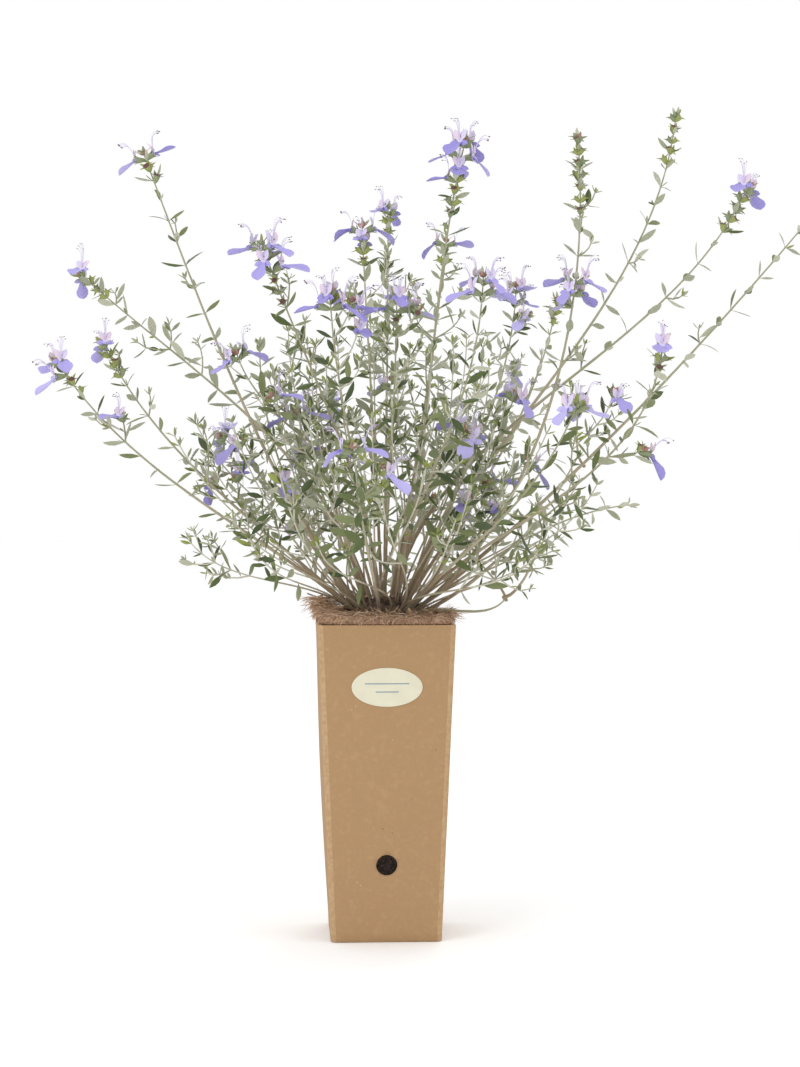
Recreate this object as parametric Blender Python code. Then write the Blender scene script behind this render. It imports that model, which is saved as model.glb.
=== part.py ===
"""Azureum tree germander in its pot.

A tall tapering card box holds a soil root ball under a fibre mat. A low woody stool
stands on the soil, thin stems fan out of it, and each stem ends in its own leafy spray
with opposite leaves, side twigs and lipped flowers.

Lengths are worked out in millimetres and stored in metres. +Z is up, the origin is the
middle of the pot's flat underside, and the labelled side of the pot faces -Y.
"""
import math
import random

import bmesh
import bpy
import numpy as np
from mathutils import Matrix, Vector

MM = 0.001
GAP = 0.3                 # left between solids that touch in life
SEED = 31

# Pot: a tapering card box with pillowed sides
POT_HEIGHT = 180.0
POT_TOP = 78.0            # outer side at the rim
POT_BASE = 63.0           # outer side at the underside
POT_WALL = 2.0
POT_CORNER = 3.0          # radius of the upright edges
POT_BULGE = 1.6           # how far the middle of a side swells out
POT_LEVELS = 4
SIDE_STEPS = 4            # spans along one side between two corners
CORNER_STEPS = 2
HOLE_DIAMETER = 12.0
HOLE_HEIGHT = 44.0
HOLE_STEPS = 24

# Label: a thin blank oval on the pot's front
LABEL_WIDTH = 40.0
LABEL_HEIGHT = 22.0
LABEL_MIDDLE = 145.0
LABEL_THICKNESS = 0.4
LABEL_STEPS = 24
LABEL_RINGS = 2

# Soil, and the fibre mat over it
SOIL_TOP = POT_HEIGHT - 0.4
MOUND_RADIUS = 24.0
GROUND = 182.0            # height of the stool's flat cut
MAT_BOTTOM = POT_HEIGHT + GAP
MAT_THICKNESS = 4.2
MAT_HALF = 38.6
MAT_HOLE = 25.5
MAT_STEPS = 36
MAT_TUFT = 8.5            # extra height of the tuft over the left rim
MAT_OVERHANG = 4.0        # how far that tuft hangs past the rim
MAT_RAG = 0.8             # how uneven the torn edge is

# Stool: a low woody dome that the stems rise from
STOOL = Vector((21.0, 17.0, 12.0))
STOOL_STEPS = 20
STOOL_RINGS = 4
STOOL_FLARE = 2.2
STOOL_LUMP = 0.45

# Stems and twigs
STEM_SIDES = 5
TWIG_SIDES = 3
BOUGH_STEP = 25.0
SPRAY_STEP = 25.0
SLIM_RADIUS = 0.9         # foot of a stem of no length, which every stem adds to
STOUTNESS = 0.0025        # added to that for each millimetre of stem
TIP_RADIUS = 0.45
SLIVERS = (0.0001, 0.001)           # widths at which a fused solid must stay closed
ROOT_DEPTH = 0.11                   # how far a leaf's root lies past its stem's middle
TWIG_RADIUS = 0.5
TWIG_LENGTH = 22.0
TWIG_EVERY = 3            # every third pair of leaves is a pair of side twigs

# Leaves, in opposite pairs that turn a quarter from one pair to the next
LEAF_PITCH = 22.5
LEAF_LENGTH = 18.0
LEAF_WIDTH = 6.4
LEAF_THICKNESS = 0.7
LEAFLESS_FOOT = 0.26      # of a spray that starts on the stool
LOWEST_LEAF = 199.0

# Flowers
CALYX_LENGTH = 6.0
CALYX_RADIUS = 2.0
LIP_LENGTH = 15.0
LIP_WIDTH = 8.5
HOOD_LENGTH = 9.0
HOOD_WIDTH = 6.0
PETAL_THICKNESS = 0.8
STAMEN_LENGTH = 16.0
STAMEN_RADIUS = 0.5
FLOWER_ROOM = 4.5

# Stems that rise from the stool. Azimuth turns from +X towards +Y. Reach and rise place
# the tip from the middle of the stool. Launch and finish are the slopes of the stem's two
# ends. Bare is the leafless share, a limb of its own, or 0 where leaves start low.
# name, azimuth, reach, rise, launch, finish, bare, blooms
SHOOTS = (
    ("left_low", 192, 188, 146, 40, 58, 0.42, 2),
    ("left_pale", 170, 166, 160, 42, 64, 0.45, 1),
    ("left_far", 157, 196, 204, 74, 40, 0.48, 1),
    ("left_tall", 203, 146, 258, 52, 68, 0.50, 1),
    ("left_inner", 232, 113, 206, 82, 60, 0.42, 3),
    ("left_light", 127, 120, 162, 38, 90, 0.48, 0),
    ("top_cluster", 322, 56, 270, 74, 74, 0.45, 4),
    ("right_light", 50, 182, 194, 44, 72, 0.42, 0),
    ("right_spike", 342, 113, 272, 37, 95, 0.46, 3),
    ("right_tall", 16, 185, 298, 65, 83, 0.48, 0),
    ("right_wide", 356, 209, 248, 80, 66, 0.50, 1),
    ("right_far", 2, 258, 242, 38, 50, 0.39, 0),
    ("right_bloom", 322, 182, 152, 44, 84, 0.48, 1),
    ("right_low", 30, 180, 64, 28, 4, 0.45, 0),
    ("front_low", 262, 165, 96, 32, 50, 0.40, 1),
    ("front_side", 304, 168, 118, 36, 58, 0.40, 1),
    ("back_low", 98, 178, 130, 32, 62, 0.40, 1),
    ("back_side", 72, 150, 232, 56, 66, 0.42, 1),
    ("loop", 332, 77, 14, 21, 55, 1.0, 0),
    ("cut_stub", 354, 113, 74, 22, 34, 1.0, 0),
    ("front_left", 255, 132, 178, 66, 76, 0.0, 2),
    ("middle_left", 104, 46, 230, 82, 80, 0.0, 2),
    ("middle_back", 86, 104, 248, 73, 84, 0.0, 1),
    ("front_middle", 272, 86, 180, 80, 86, 0.0, 2),
    ("front_right", 290, 135, 186, 69, 86, 0.0, 2),
    ("back_right", 44, 118, 198, 58, 86, 0.0, 2),
    ("back_left", 148, 112, 106, 46, 36, 0.0, 1),
    ("inner_left", 216, 62, 118, 64, 74, 0.0, 1),
    ("inner_right", 350, 76, 128, 50, 66, 0.0, 1),
    ("inner_front", 318, 66, 104, 56, 70, 0.0, 1),
)

# Stems that leave a limb where it ends, from its side or straight on from its tip.
# name, limb, seat, azimuth, reach, rise, finish, bare, blooms
FORKS = (
    ("left_inner_side", "left_inner", "side", 204, 92, 150, 72, 0.0, 1),
    ("left_light_side", "left_light", "side", 124, 70, 160, 112, 0.0, 0),
    ("right_far_side", "right_far", "side", 354, 112, 124, 84, 0.0, 1),
    ("loop_arm", "loop", "tip", 332, 99, 59, 88, 0.55, 0),
    ("loop_twig", "loop", "side", 332, 54, 38, 137, 0.0, 0),
)


def clear_scene():
    for item in list(bpy.data.objects):
        bpy.data.objects.remove(item, do_unlink=True)


def make_material(name, colour, roughness):
    material = bpy.data.materials.new(name)
    material.use_nodes = True
    shader = material.node_tree.nodes["Principled BSDF"]
    shader.inputs["Base Color"].default_value = (*colour, 1.0)
    shader.inputs["Roughness"].default_value = roughness
    shader.inputs["Metallic"].default_value = 0.0
    return material


def outward(vertices, faces):
    """The same solid with its faces turned outwards."""
    volume = 0.0
    for face in faces:
        first = vertices[face[0]]
        for second, third in zip(face[1:-1], face[2:]):
            volume += first.dot(vertices[second].cross(vertices[third]))
    if volume < 0:
        faces = [tuple(reversed(face)) for face in faces]
    return vertices, faces


def add_object(name, solid, material=None, collection=None):
    vertices, faces = solid
    mesh = bpy.data.meshes.new(name)
    mesh.from_pydata([vertex * MM for vertex in vertices], [], faces)
    if material:
        mesh.materials.append(material)
    item = bpy.data.objects.new(name, mesh)
    (collection or bpy.context.scene.collection).objects.link(item)
    return item


def loft(rings):
    """A closed solid through rings of equal count, with flat ends."""
    count = len(rings[0])
    vertices = [point for ring in rings for point in ring]
    last = len(vertices) - count
    faces = [tuple(range(count)), tuple(reversed(range(last, len(vertices))))]
    for low in range(0, last, count):
        high = low + count
        for step in range(count):
            after = (step + 1) % count
            faces.append((low + step, high + step, high + after, low + after))
    return outward(vertices, faces)


# Pot
def pot_half(height):
    """Half the pot's outer side at a height, along its edges."""
    return (POT_BASE + (POT_TOP - POT_BASE) * height / POT_HEIGHT) / 2


def pot_swell(height):
    """How far the middle of a side stands out at a height."""
    return POT_BULGE * math.sin(math.pi * height / POT_HEIGHT)


def box_ring(half, corner, height, swell=0.0):
    """A square ring with round corners, and sides that swell in the middle."""
    straight = half - corner
    points = []
    for quarter in range(4):
        turn = Matrix.Rotation(math.radians(90 * quarter), 3, "Z")
        for step in range(SIDE_STEPS):
            along = -1 + 2 * step / SIDE_STEPS
            out = half + swell * (1 - along * along)
            points.append(turn @ Vector((straight * along, -out, height)))
        for step in range(CORNER_STEPS):
            angle = math.radians(-90 + 90 * step / CORNER_STEPS)
            reach = Vector((math.cos(angle), math.sin(angle), 0.0)) * corner
            points.append(turn @ (Vector((straight, -straight, height)) + reach))
    return points


def make_pot(material):
    rings = []
    for level in range(POT_LEVELS + 1):
        height = POT_HEIGHT * level / POT_LEVELS
        rings.append(box_ring(pot_half(height), POT_CORNER, height, pot_swell(height)))
    inner_corner = POT_CORNER - POT_WALL / 2
    rings.append(box_ring(pot_half(POT_HEIGHT) - POT_WALL, inner_corner, POT_HEIGHT))
    rings.append(box_ring(pot_half(POT_WALL) - POT_WALL, inner_corner, POT_WALL))
    pot = add_object("pot", loft(rings), material)

    bpy.ops.mesh.primitive_cylinder_add(
        vertices=HOLE_STEPS,
        radius=HOLE_DIAMETER / 2 * MM,
        depth=POT_BASE / 2 * MM,
        location=(0.0, -pot_half(HOLE_HEIGHT) * MM, HOLE_HEIGHT * MM),
        rotation=(math.radians(90), 0.0, 0.0),
    )
    cutter = bpy.context.object
    cutter.name = "hole_cutter"
    cutter.hide_render = True
    cutter.display_type = "WIRE"
    cut = pot.modifiers.new("hole", "BOOLEAN")
    cut.operation = "DIFFERENCE"
    cut.object = cutter


def make_label(material):
    """A thin oval that follows the slope and swell of the pot's front."""
    def front(share, step):
        angle = 2 * math.pi * step / LABEL_STEPS
        x = LABEL_WIDTH / 2 * share * math.cos(angle)
        z = LABEL_MIDDLE + LABEL_HEIGHT / 2 * share * math.sin(angle)
        along = x / (pot_half(z) - POT_CORNER)
        return Vector((x, -pot_half(z) - pot_swell(z) * (1 - along * along) - GAP, z))

    back = [front(0.0, 0)]
    for ring in range(LABEL_RINGS):
        back += [front((ring + 1) / LABEL_RINGS, step) for step in range(LABEL_STEPS)]
    shift = len(back)
    vertices = back + [point - Vector((0.0, LABEL_THICKNESS, 0.0)) for point in back]
    edge = 1 + (LABEL_RINGS - 1) * LABEL_STEPS
    faces = []
    for step in range(LABEL_STEPS):
        after = (step + 1) % LABEL_STEPS
        sheet = [(0, 1 + step, 1 + after)]
        for low in range(1, edge, LABEL_STEPS):
            high = low + LABEL_STEPS
            sheet.append((low + step, high + step, high + after, low + after))
        faces += sheet
        faces += [tuple(shift + corner for corner in reversed(face)) for face in sheet]
        faces.append((edge + after, edge + step, shift + edge + step, shift + edge + after))
    add_object("label", outward(vertices, faces), material)


def make_root_ball(material):
    """Soil that fills the pot, with a low round mound under the stool."""
    side = POT_WALL + GAP
    rings = [
        box_ring(pot_half(side) - side, POT_CORNER, side),
        box_ring(pot_half(SOIL_TOP) - side, POT_CORNER, SOIL_TOP),
    ]
    for radius, height in ((MOUND_RADIUS, SOIL_TOP), (MOUND_RADIUS - 1, GROUND - GAP)):
        spokes = [corner.xy.normalized() * radius for corner in rings[0]]
        rings.append([Vector((spoke.x, spoke.y, height)) for spoke in spokes])
    add_object("root_ball", loft(rings), material)


def make_fibre_mat(material):
    """A ragged square mat of coir round the stool, tufted over the pot's left rim."""
    profile = (            # share of the way out from the hole, share of the thickness
        (1.0, 0.0),
        (1.02, 0.5),
        (0.96, 1.0),
        (0.45, 1.1),
        (0.06, 0.9),
        (0.0, 0.0),
    )
    draw = random.Random(SEED)
    torn = [draw.uniform(-MAT_RAG, MAT_RAG) for _ in range(MAT_STEPS)]
    lumps = [draw.uniform(0.8, 1.1) for _ in range(MAT_STEPS)]
    vertices = []
    for share, lift in profile:
        for step in range(MAT_STEPS):
            angle = 2 * math.pi * (step + 0.5) / MAT_STEPS
            ray = Vector((math.cos(angle), math.sin(angle)))
            tuft = max(0.0, -ray.x) ** 6 * (1 - ray.y / 2)
            edge = MAT_HALF / max(abs(ray.x), abs(ray.y)) ** 0.9
            edge += torn[step] + MAT_OVERHANG * tuft * lift
            reach = MAT_HOLE + (edge - MAT_HOLE) * share
            thick = MAT_THICKNESS * lumps[step] + MAT_TUFT * tuft * min(2 * share, 1.0)
            vertices.append(Vector((ray.x * reach, ray.y * reach, MAT_BOTTOM + thick * lift)))
    faces = []
    for ring in range(len(profile)):
        low = ring * MAT_STEPS
        high = (ring + 1) % len(profile) * MAT_STEPS
        for step in range(MAT_STEPS):
            after = (step + 1) % MAT_STEPS
            faces.append((low + step, high + step, high + after, low + after))
    add_object("fibre_mat", outward(vertices, faces), material)


def make_stool(material):
    """A knobbly half dome with a flared, flat foot."""
    def ring(level):
        slope = math.radians(5 + 70 * level / (STOOL_RINGS - 1))
        points = []
        for step in range(STOOL_STEPS):
            angle = 2 * math.pi * step / STOOL_STEPS
            lump = 1 - STOOL_LUMP / STOOL.y * (1 + math.sin(7 * angle + 3 * level))
            points.append(Vector((
                STOOL.x * math.cos(slope) * math.cos(angle) * lump,
                STOOL.y * math.cos(slope) * math.sin(angle) * lump,
                GROUND + STOOL.z * math.sin(slope) * lump,
            )))
        return points

    foot = []
    for step in range(STOOL_STEPS):
        angle = 2 * math.pi * step / STOOL_STEPS
        flare = STOOL_FLARE * (0.6 + 0.4 * math.sin(5 * angle))
        foot.append(Vector((
            (STOOL.x + flare) * math.cos(angle),
            (STOOL.y + flare) * math.sin(angle),
            GROUND,
        )))
    add_object("stool", loft([foot] + [ring(level) for level in range(STOOL_RINGS)]), material)


# Stems
def heading(azimuth, slope):
    azimuth = math.radians(azimuth)
    slope = math.radians(slope)
    return Vector((
        math.cos(slope) * math.cos(azimuth),
        math.cos(slope) * math.sin(azimuth),
        math.sin(slope),
    ))


def stool_point(direction):
    """Where the stool's dome faces a direction, just outside its surface."""
    stretched = Vector([STOOL[axis] ** 2 * direction[axis] for axis in range(3)])
    scale = math.sqrt(sum((STOOL[axis] * direction[axis]) ** 2 for axis in range(3)))
    return stretched / scale + Vector((0.0, 0.0, GROUND)) + direction * GAP


class Stem:
    """A smooth curve from start to tip, that stays in one upright plane."""

    def __init__(self, azimuth, start, launch, tip, finish, grip=0.33):
        span = (tip - start).length
        self.knots = (start, start + launch * span * grip, tip - finish * span * 0.35, tip)
        self.level = heading(azimuth + 90, 0)
        self.length = sum(
            (self.at((step + 1) / 20) - self.at(step / 20)).length for step in range(20)
        )

    def at(self, share):
        rest = 1 - share
        weights = (rest ** 3, 3 * rest ** 2 * share, 3 * rest * share ** 2, share ** 3)
        return sum((knot * weight for knot, weight in zip(self.knots, weights)), Vector())

    def along(self, share):
        low = max(share - 0.01, 0.0)
        return (self.at(min(share + 0.01, 1.0)) - self.at(low)).normalized()

    def radius(self, share):
        foot = SLIM_RADIUS + STOUTNESS * self.length
        return foot + (TIP_RADIUS - foot) * share

    def stretch(self, low, high, step):
        """Points and radii from one share to another, about one step apart."""
        count = max(2, round(self.length * (high - low) / step))
        shares = [low + (high - low) * index / count for index in range(count + 1)]
        return [self.at(share) for share in shares], [self.radius(share) for share in shares]


def tube(points, radii, sides):
    """A closed tapering tube along points."""
    rings = []
    normal = (points[1] - points[0]).orthogonal().normalized()
    for index, point in enumerate(points):
        before = points[max(index - 1, 0)]
        after = points[min(index + 1, len(points) - 1)]
        along = (after - before).normalized()
        normal = (normal - along * normal.dot(along)).normalized()
        across = along.cross(normal)
        ring = []
        for step in range(sides):
            angle = 2 * math.pi * step / sides
            ring.append(point + (normal * math.cos(angle) + across * math.sin(angle)) * radii[index])
        rings.append(ring)
    return loft(rings)


class Room:
    """Capsules that stand for all that has grown, each with the node that owns it."""

    def __init__(self):
        self.starts = []
        self.ends = []
        self.radii = []
        self.owners = []

    def add(self, start, end, radius, owner):
        self.starts.append(start)
        self.ends.append(end)
        self.radii.append(radius)
        self.owners.append(owner)

    def add_path(self, points, radii, owner):
        for start, end, radius in zip(points[:-1], points[1:], radii):
            self.add(start, end, radius, owner)

    def slack(self, start, end, radius, owner):
        """The least distance between a capsule and those of other nodes."""
        others = np.array([other != owner for other in self.owners])
        starts = np.array(self.starts)[others]
        spans = np.array(self.ends)[others] - starts
        span = np.array(end - start)
        between = np.array(start) - starts
        a = span @ span
        b = spans @ span
        c = between @ span
        e = (spans * spans).sum(1)
        f = (spans * between).sum(1)
        s = np.clip((b * f - c * e) / np.maximum(a * e - b * b, 1e-9), 0, 1)
        t = np.clip((b * s + f) / e, 0, 1)
        s = np.clip((b * t - c) / a, 0, 1)
        apart = between + s[:, None] * span - t[:, None] * spans
        distance = np.sqrt((apart * apart).sum(1))
        return (distance - np.array(self.radii)[others]).min() - radius


# Leaves and flowers
def blade(root, along, up, length, width, thickness, arch=0.1):
    """A leaf or petal pointed at both ends, arched, flat below and ridged above."""
    across = along.cross(up).normalized()
    lift = across.cross(along)
    middle = root + along * length * 0.45 + lift * length * arch
    vertices = [
        root,
        root + along * length,
        middle - across * width / 2,
        middle + across * width / 2,
        middle + lift * thickness,
    ]
    faces = [(0, 2, 4), (0, 4, 3), (0, 3, 2), (1, 4, 2), (1, 3, 4), (1, 2, 3)]
    return outward(vertices, faces)


def flower(root, out, up):
    """A bell calyx with a hanging lip, an upright hood and arched stamens."""
    mouth = root + out * CALYX_LENGTH
    throat = mouth - out * 2
    lip = (out * 0.6 - up * 0.8).normalized()
    hood = (out * 0.4 + up * 0.9).normalized()
    stamens = (out * 0.9 + up * 0.45).normalized()
    return [
        tube([root, mouth], [TWIG_RADIUS, CALYX_RADIUS], 4),
        blade(throat, lip, out, LIP_LENGTH, LIP_WIDTH, PETAL_THICKNESS),
        blade(throat, hood, -out, HOOD_LENGTH, HOOD_WIDTH, PETAL_THICKNESS),
        tube([throat, throat + stamens * STAMEN_LENGTH], [STAMEN_RADIUS] * 2, TWIG_SIDES),
    ]


class Spray:
    """A leafy mass: a stem with opposite leaves, side twigs and flowers at its end."""

    def __init__(self, name, stem, low, blooms, foot, room):
        self.name = name
        self.stem = stem
        self.low = low
        self.blooms = blooms
        self.foot = foot
        self.room = room
        self.draw = random.Random(f"{name} {SEED}")
        points, radii = stem.stretch(low, 1.0, SPRAY_STEP)
        self.solids = [tube(points, radii, TWIG_SIDES)]
        room.add_path(points, radii, name)

    def lets_in(self, start, end, radius):
        if min(start.z, end.z) < LOWEST_LEAF:
            return False
        if self.room.slack(start, end, radius, self.name) < GAP:
            return False
        self.room.add(start, end, radius, self.name)
        return True

    def out(self, share, turn):
        """A direction square to the stem, turned round it by an angle in degrees."""
        along = self.stem.along(share)
        above = along.cross(self.stem.level)
        turn = math.radians(turn)
        return self.stem.level * math.cos(turn) + above * math.sin(turn)

    def leaf(self, root, along, out, spread, size):
        spread = math.radians(spread)
        way = along * math.cos(spread) + out * math.sin(spread)
        length = LEAF_LENGTH * size
        width = LEAF_WIDTH * size
        if self.lets_in(root + way * width / 2, root + way * length, width / 2):
            start = root - way * ROOT_DEPTH
            self.solids.append(blade(start, way, along, length, width, LEAF_THICKNESS))

    def twig(self, root, along, out, size):
        """A straight side twig that ends in a pair of leaves."""
        way = (along + out).normalized()
        end = root + way * TWIG_LENGTH * size
        if self.lets_in(root + way * 2, end, TWIG_RADIUS):
            self.solids.append(tube([root, end], [TWIG_RADIUS, TWIG_RADIUS], TWIG_SIDES))
            side = way.cross(out).normalized()
            for turn in (-1, 1):
                self.leaf(end - way, way, side * turn, 40, 0.85)

    def bloom(self):
        """Flowers up the end of the stem, on alternate sides."""
        for index in range(self.blooms):
            share = 1 - 0.035 * index
            turn = 137 * index + self.draw.uniform(0, 90)
            along = self.stem.along(share)
            out = (self.out(share, turn) + along * 0.35).normalized()
            up = Vector((0.0, 0.0, 1.0)) - out * out.z
            root = self.stem.at(share) - along * 0.5
            mouth = root + out * CALYX_LENGTH
            if self.lets_in(mouth, mouth + out * LIP_LENGTH * 0.5, FLOWER_ROOM):
                self.solids += flower(root, out, up.normalized())

    def grow(self):
        self.bloom()
        share = self.low + self.foot + 4 / self.stem.length
        turn = self.draw.uniform(0, 90)
        pair = self.draw.randrange(TWIG_EVERY)
        last = 1 - 5 / self.stem.length
        while share < last:
            point = self.stem.at(share)
            along = self.stem.along(share)
            ageing = (share - self.low) / (1 - self.low)
            for half in (0, 180):
                out = self.out(share, turn + half)
                if pair % TWIG_EVERY == 0 and ageing < 0.8:
                    self.twig(point, along, out, self.draw.uniform(0.7, 1.3))
                else:
                    size = self.draw.uniform(0.85, 1.1) * (1.05 - 0.35 * ageing)
                    self.leaf(point, along, out, 62 - 22 * ageing, size)
            pitch = LEAF_PITCH * (1.15 - 0.5 * ageing)
            share += pitch / self.stem.length
            turn += 90 + self.draw.uniform(-12, 12)
            pair += 1
        if not self.blooms:
            end = self.stem.at(1.0)
            along = self.stem.along(1.0)
            self.leaf(end - along, along, self.out(1.0, turn), 8, 0.7)


def union(base, solids, solver):
    """The mesh of a solid with others fused on, by one Boolean on their collection."""
    grown = bpy.data.collections.new("grown")
    bpy.context.scene.collection.children.link(grown)
    for solid in solids:
        add_object("grown", solid, None, grown)
    join = base.modifiers.new("union", "BOOLEAN")
    join.operation = "UNION"
    join.operand_type = "COLLECTION"
    join.collection = grown
    join.solver = solver
    seen = base.evaluated_get(bpy.context.evaluated_depsgraph_get())
    mesh = bpy.data.meshes.new_from_object(seen)
    base.modifiers.clear()
    for item in list(grown.objects):
        bpy.data.objects.remove(item, do_unlink=True)
    bpy.data.collections.remove(grown)
    return mesh


def keep_largest_shell(mesh):
    """Drops loose scraps and fills hollows that fusing has sealed."""
    shape = bmesh.new()
    shape.from_mesh(mesh)
    bmesh.ops.triangulate(shape, faces=shape.faces)
    shells = []
    unseen = set(shape.faces)
    while unseen:
        shell = [unseen.pop()]
        for face in shell:
            for edge in face.edges:
                for other in edge.link_faces:
                    if other in unseen:
                        unseen.remove(other)
                        shell.append(other)
        shells.append(shell)
    shells.sort(key=len)
    for shell in shells[:-1]:
        bmesh.ops.delete(shape, geom=shell, context="FACES")
    loose = [vertex for vertex in shape.verts if not vertex.link_faces]
    bmesh.ops.delete(shape, geom=loose, context="VERTS")
    shape.to_mesh(mesh)
    shape.free()


def faults(mesh):
    """Where a mesh is open or meets itself, as it is and with its slivers merged."""
    places = []
    for sliver in (0.0, *SLIVERS):
        shape = bmesh.new()
        shape.from_mesh(mesh)
        if sliver:
            bmesh.ops.remove_doubles(shape, verts=shape.verts, dist=sliver * MM)
            bmesh.ops.dissolve_degenerate(shape, edges=shape.edges, dist=sliver * MM)
        places += [edge.verts[0].co / MM for edge in shape.edges if not edge.is_manifold]
        shape.free()
    return places


def fuse(name, solids, material):
    """One closed body from a stem and all that grows on it, less pieces that won't fuse."""
    stem = add_object(name, solids[0], material)
    grown = solids[1:]
    while True:
        for solver in ("EXACT", "MANIFOLD"):
            mesh = union(stem, grown, solver)
            keep_largest_shell(mesh)
            places = faults(mesh)
            if not places:
                stem.data = mesh
                return
        misses = [
            min((vertex - places[0]).length for vertex in vertices) for vertices, _ in grown
        ]
        grown.pop(misses.index(min(misses)))


def plan_stems():
    """Every stem's curve, with the shares where it starts and where its leaves start."""
    stems = {}
    for name, azimuth, reach, rise, launch, finish, bare, blooms in SHOOTS:
        way = heading(azimuth, launch)
        tip = heading(azimuth, 0) * reach + Vector((0.0, 0.0, GROUND + rise))
        stem = Stem(azimuth, stool_point(way), way, tip, heading(azimuth, finish))
        stems[name] = (stem, bare, blooms, 0.0 if bare else LEAFLESS_FOOT)
    for name, limb, seat, azimuth, reach, rise, finish, bare, blooms in FORKS:
        parent, share = stems[limb][:2]
        before, end = parent.stretch(0.0, share, BOUGH_STEP)[0][-2:]
        along = (end - before).normalized()
        tip = heading(azimuth, 0) * reach + Vector((0.0, 0.0, GROUND + rise))
        if seat == "tip":
            way = along
            start = end + way * GAP
        else:
            way = (tip - end - along * along.dot(tip - end)).normalized()
            start = end + way * (parent.radius(share) + GAP) - along * 1.5
        stem = Stem(azimuth, start, way, tip, heading(azimuth, finish), 0.2)
        stems[name] = (stem, bare, blooms, 0.0)
    return stems


def make_plant(bark, foliage):
    room = Room()
    sprays = []
    for name, (stem, bare, blooms, foot) in plan_stems().items():
        if bare:
            points, radii = stem.stretch(0.0, bare, BOUGH_STEP)
            add_object("bough_" + name, tube(points, radii, STEM_SIDES), bark)
            room.add_path(points, radii, "bough_" + name)
        if bare < 1:
            low = bare + GAP / stem.length if bare else 0.0
            sprays.append(Spray("spray_" + name, stem, low, blooms, foot, room))
    for spray in sprays:
        spray.grow()
        fuse(spray.name, spray.solids, foliage)


def main():
    clear_scene()
    make_pot(make_material("kraft card", (0.42, 0.26, 0.13), 0.85))
    make_label(make_material("cream paper", (0.80, 0.78, 0.62), 0.6))
    make_root_ball(make_material("soil", (0.035, 0.022, 0.016), 0.95))
    make_fibre_mat(make_material("coir", (0.36, 0.25, 0.17), 0.95))
    make_stool(make_material("old wood", (0.12, 0.085, 0.06), 0.9))
    make_plant(
        make_material("stem bark", (0.42, 0.38, 0.30), 0.8),
        make_material("leaves and flowers", (0.33, 0.36, 0.25), 0.8),
    )


main()
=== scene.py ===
import math
import random

import bpy
from mathutils import Matrix, Vector, noise


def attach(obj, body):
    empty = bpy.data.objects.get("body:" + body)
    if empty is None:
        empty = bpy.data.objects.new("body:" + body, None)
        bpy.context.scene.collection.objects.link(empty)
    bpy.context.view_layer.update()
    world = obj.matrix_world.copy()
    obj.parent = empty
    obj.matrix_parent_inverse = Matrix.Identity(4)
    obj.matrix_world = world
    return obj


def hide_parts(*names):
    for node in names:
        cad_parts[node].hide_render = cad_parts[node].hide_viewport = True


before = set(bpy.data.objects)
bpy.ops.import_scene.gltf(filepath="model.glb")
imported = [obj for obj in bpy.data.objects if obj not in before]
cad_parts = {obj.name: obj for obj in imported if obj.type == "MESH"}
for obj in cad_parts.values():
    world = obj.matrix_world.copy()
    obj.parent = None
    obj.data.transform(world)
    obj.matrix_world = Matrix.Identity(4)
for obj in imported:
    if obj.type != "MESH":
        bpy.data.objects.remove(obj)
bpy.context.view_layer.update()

# Card box: one sheet of kraft card, creased into a tall box that tapers to its base and
# swells a little with the soil inside. A round hole is punched low in its front, and a
# glued flap closes it down the back. Lengths are in millimetres, stored in metres.
MM = 0.001
POT_HEIGHT = 180.0
POT_TOP = 78.0
POT_BASE = 63.0
POT_WALL = 2.0
POT_CORNER = 3.0
POT_BULGE = 1.6
BOX_EDGE = 0.3
BOX_LEVELS = 30
SIDE_STEPS = 14
CORNER_STEPS = 5
HOLE_RADIUS = 6.0
HOLE_HEIGHT = 44.0
HOLE_STEPS = 48
HOLE_MARGIN = 0.1
PUNCH_ENDS = (-8.0, 12.0)  # out from the front of the box's base
FLAP_INSET = 3.4
FLAP_WIDTH = 13.0
FLAP_FACES = (0.05, 0.5)  # inner and outer, out from the box's back
FLAP_MARGIN = 1.0
KRAFT = ((166, 133, 94), (162, 129, 91), (169, 136, 97))
CREASE = (186, 155, 117)
CARD_CORE = (176, 143, 108)
DARK_FLECK = (98, 72, 50)
PALE_FLECK = (214, 190, 160)
GRAIN_DETAIL = 5.0
GRAIN_STRENGTH = 0.6
DULLNESS_SPREAD = 0.08
PATCH_DETAIL = 8.0
PATCH_FROM = 0.32  # where the shades start on the noise's scale
PATCH_SPAN = 0.36


def shade(red, green, blue):
    """A colour given 0 to 255 a channel, as the linear values a shader takes."""
    return tuple(((value / 255 + 0.055) / 1.055) ** 2.4 for value in (red, green, blue))


def feed(material, node, inputs):
    """Gives a shader node's inputs their values, or the outputs of other nodes."""
    for name, value in inputs.items():
        if isinstance(value, bpy.types.NodeSocket):
            material.node_tree.links.new(value, node.inputs[name])
        else:
            node.inputs[name].default_value = value


def new_node(material, kind, inputs, **settings):
    """A new shader node with its settings and inputs."""
    node = material.node_tree.nodes.new("ShaderNode" + kind)
    for name, value in settings.items():
        setattr(node, name, value)
    feed(material, node, inputs)
    return node


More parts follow.
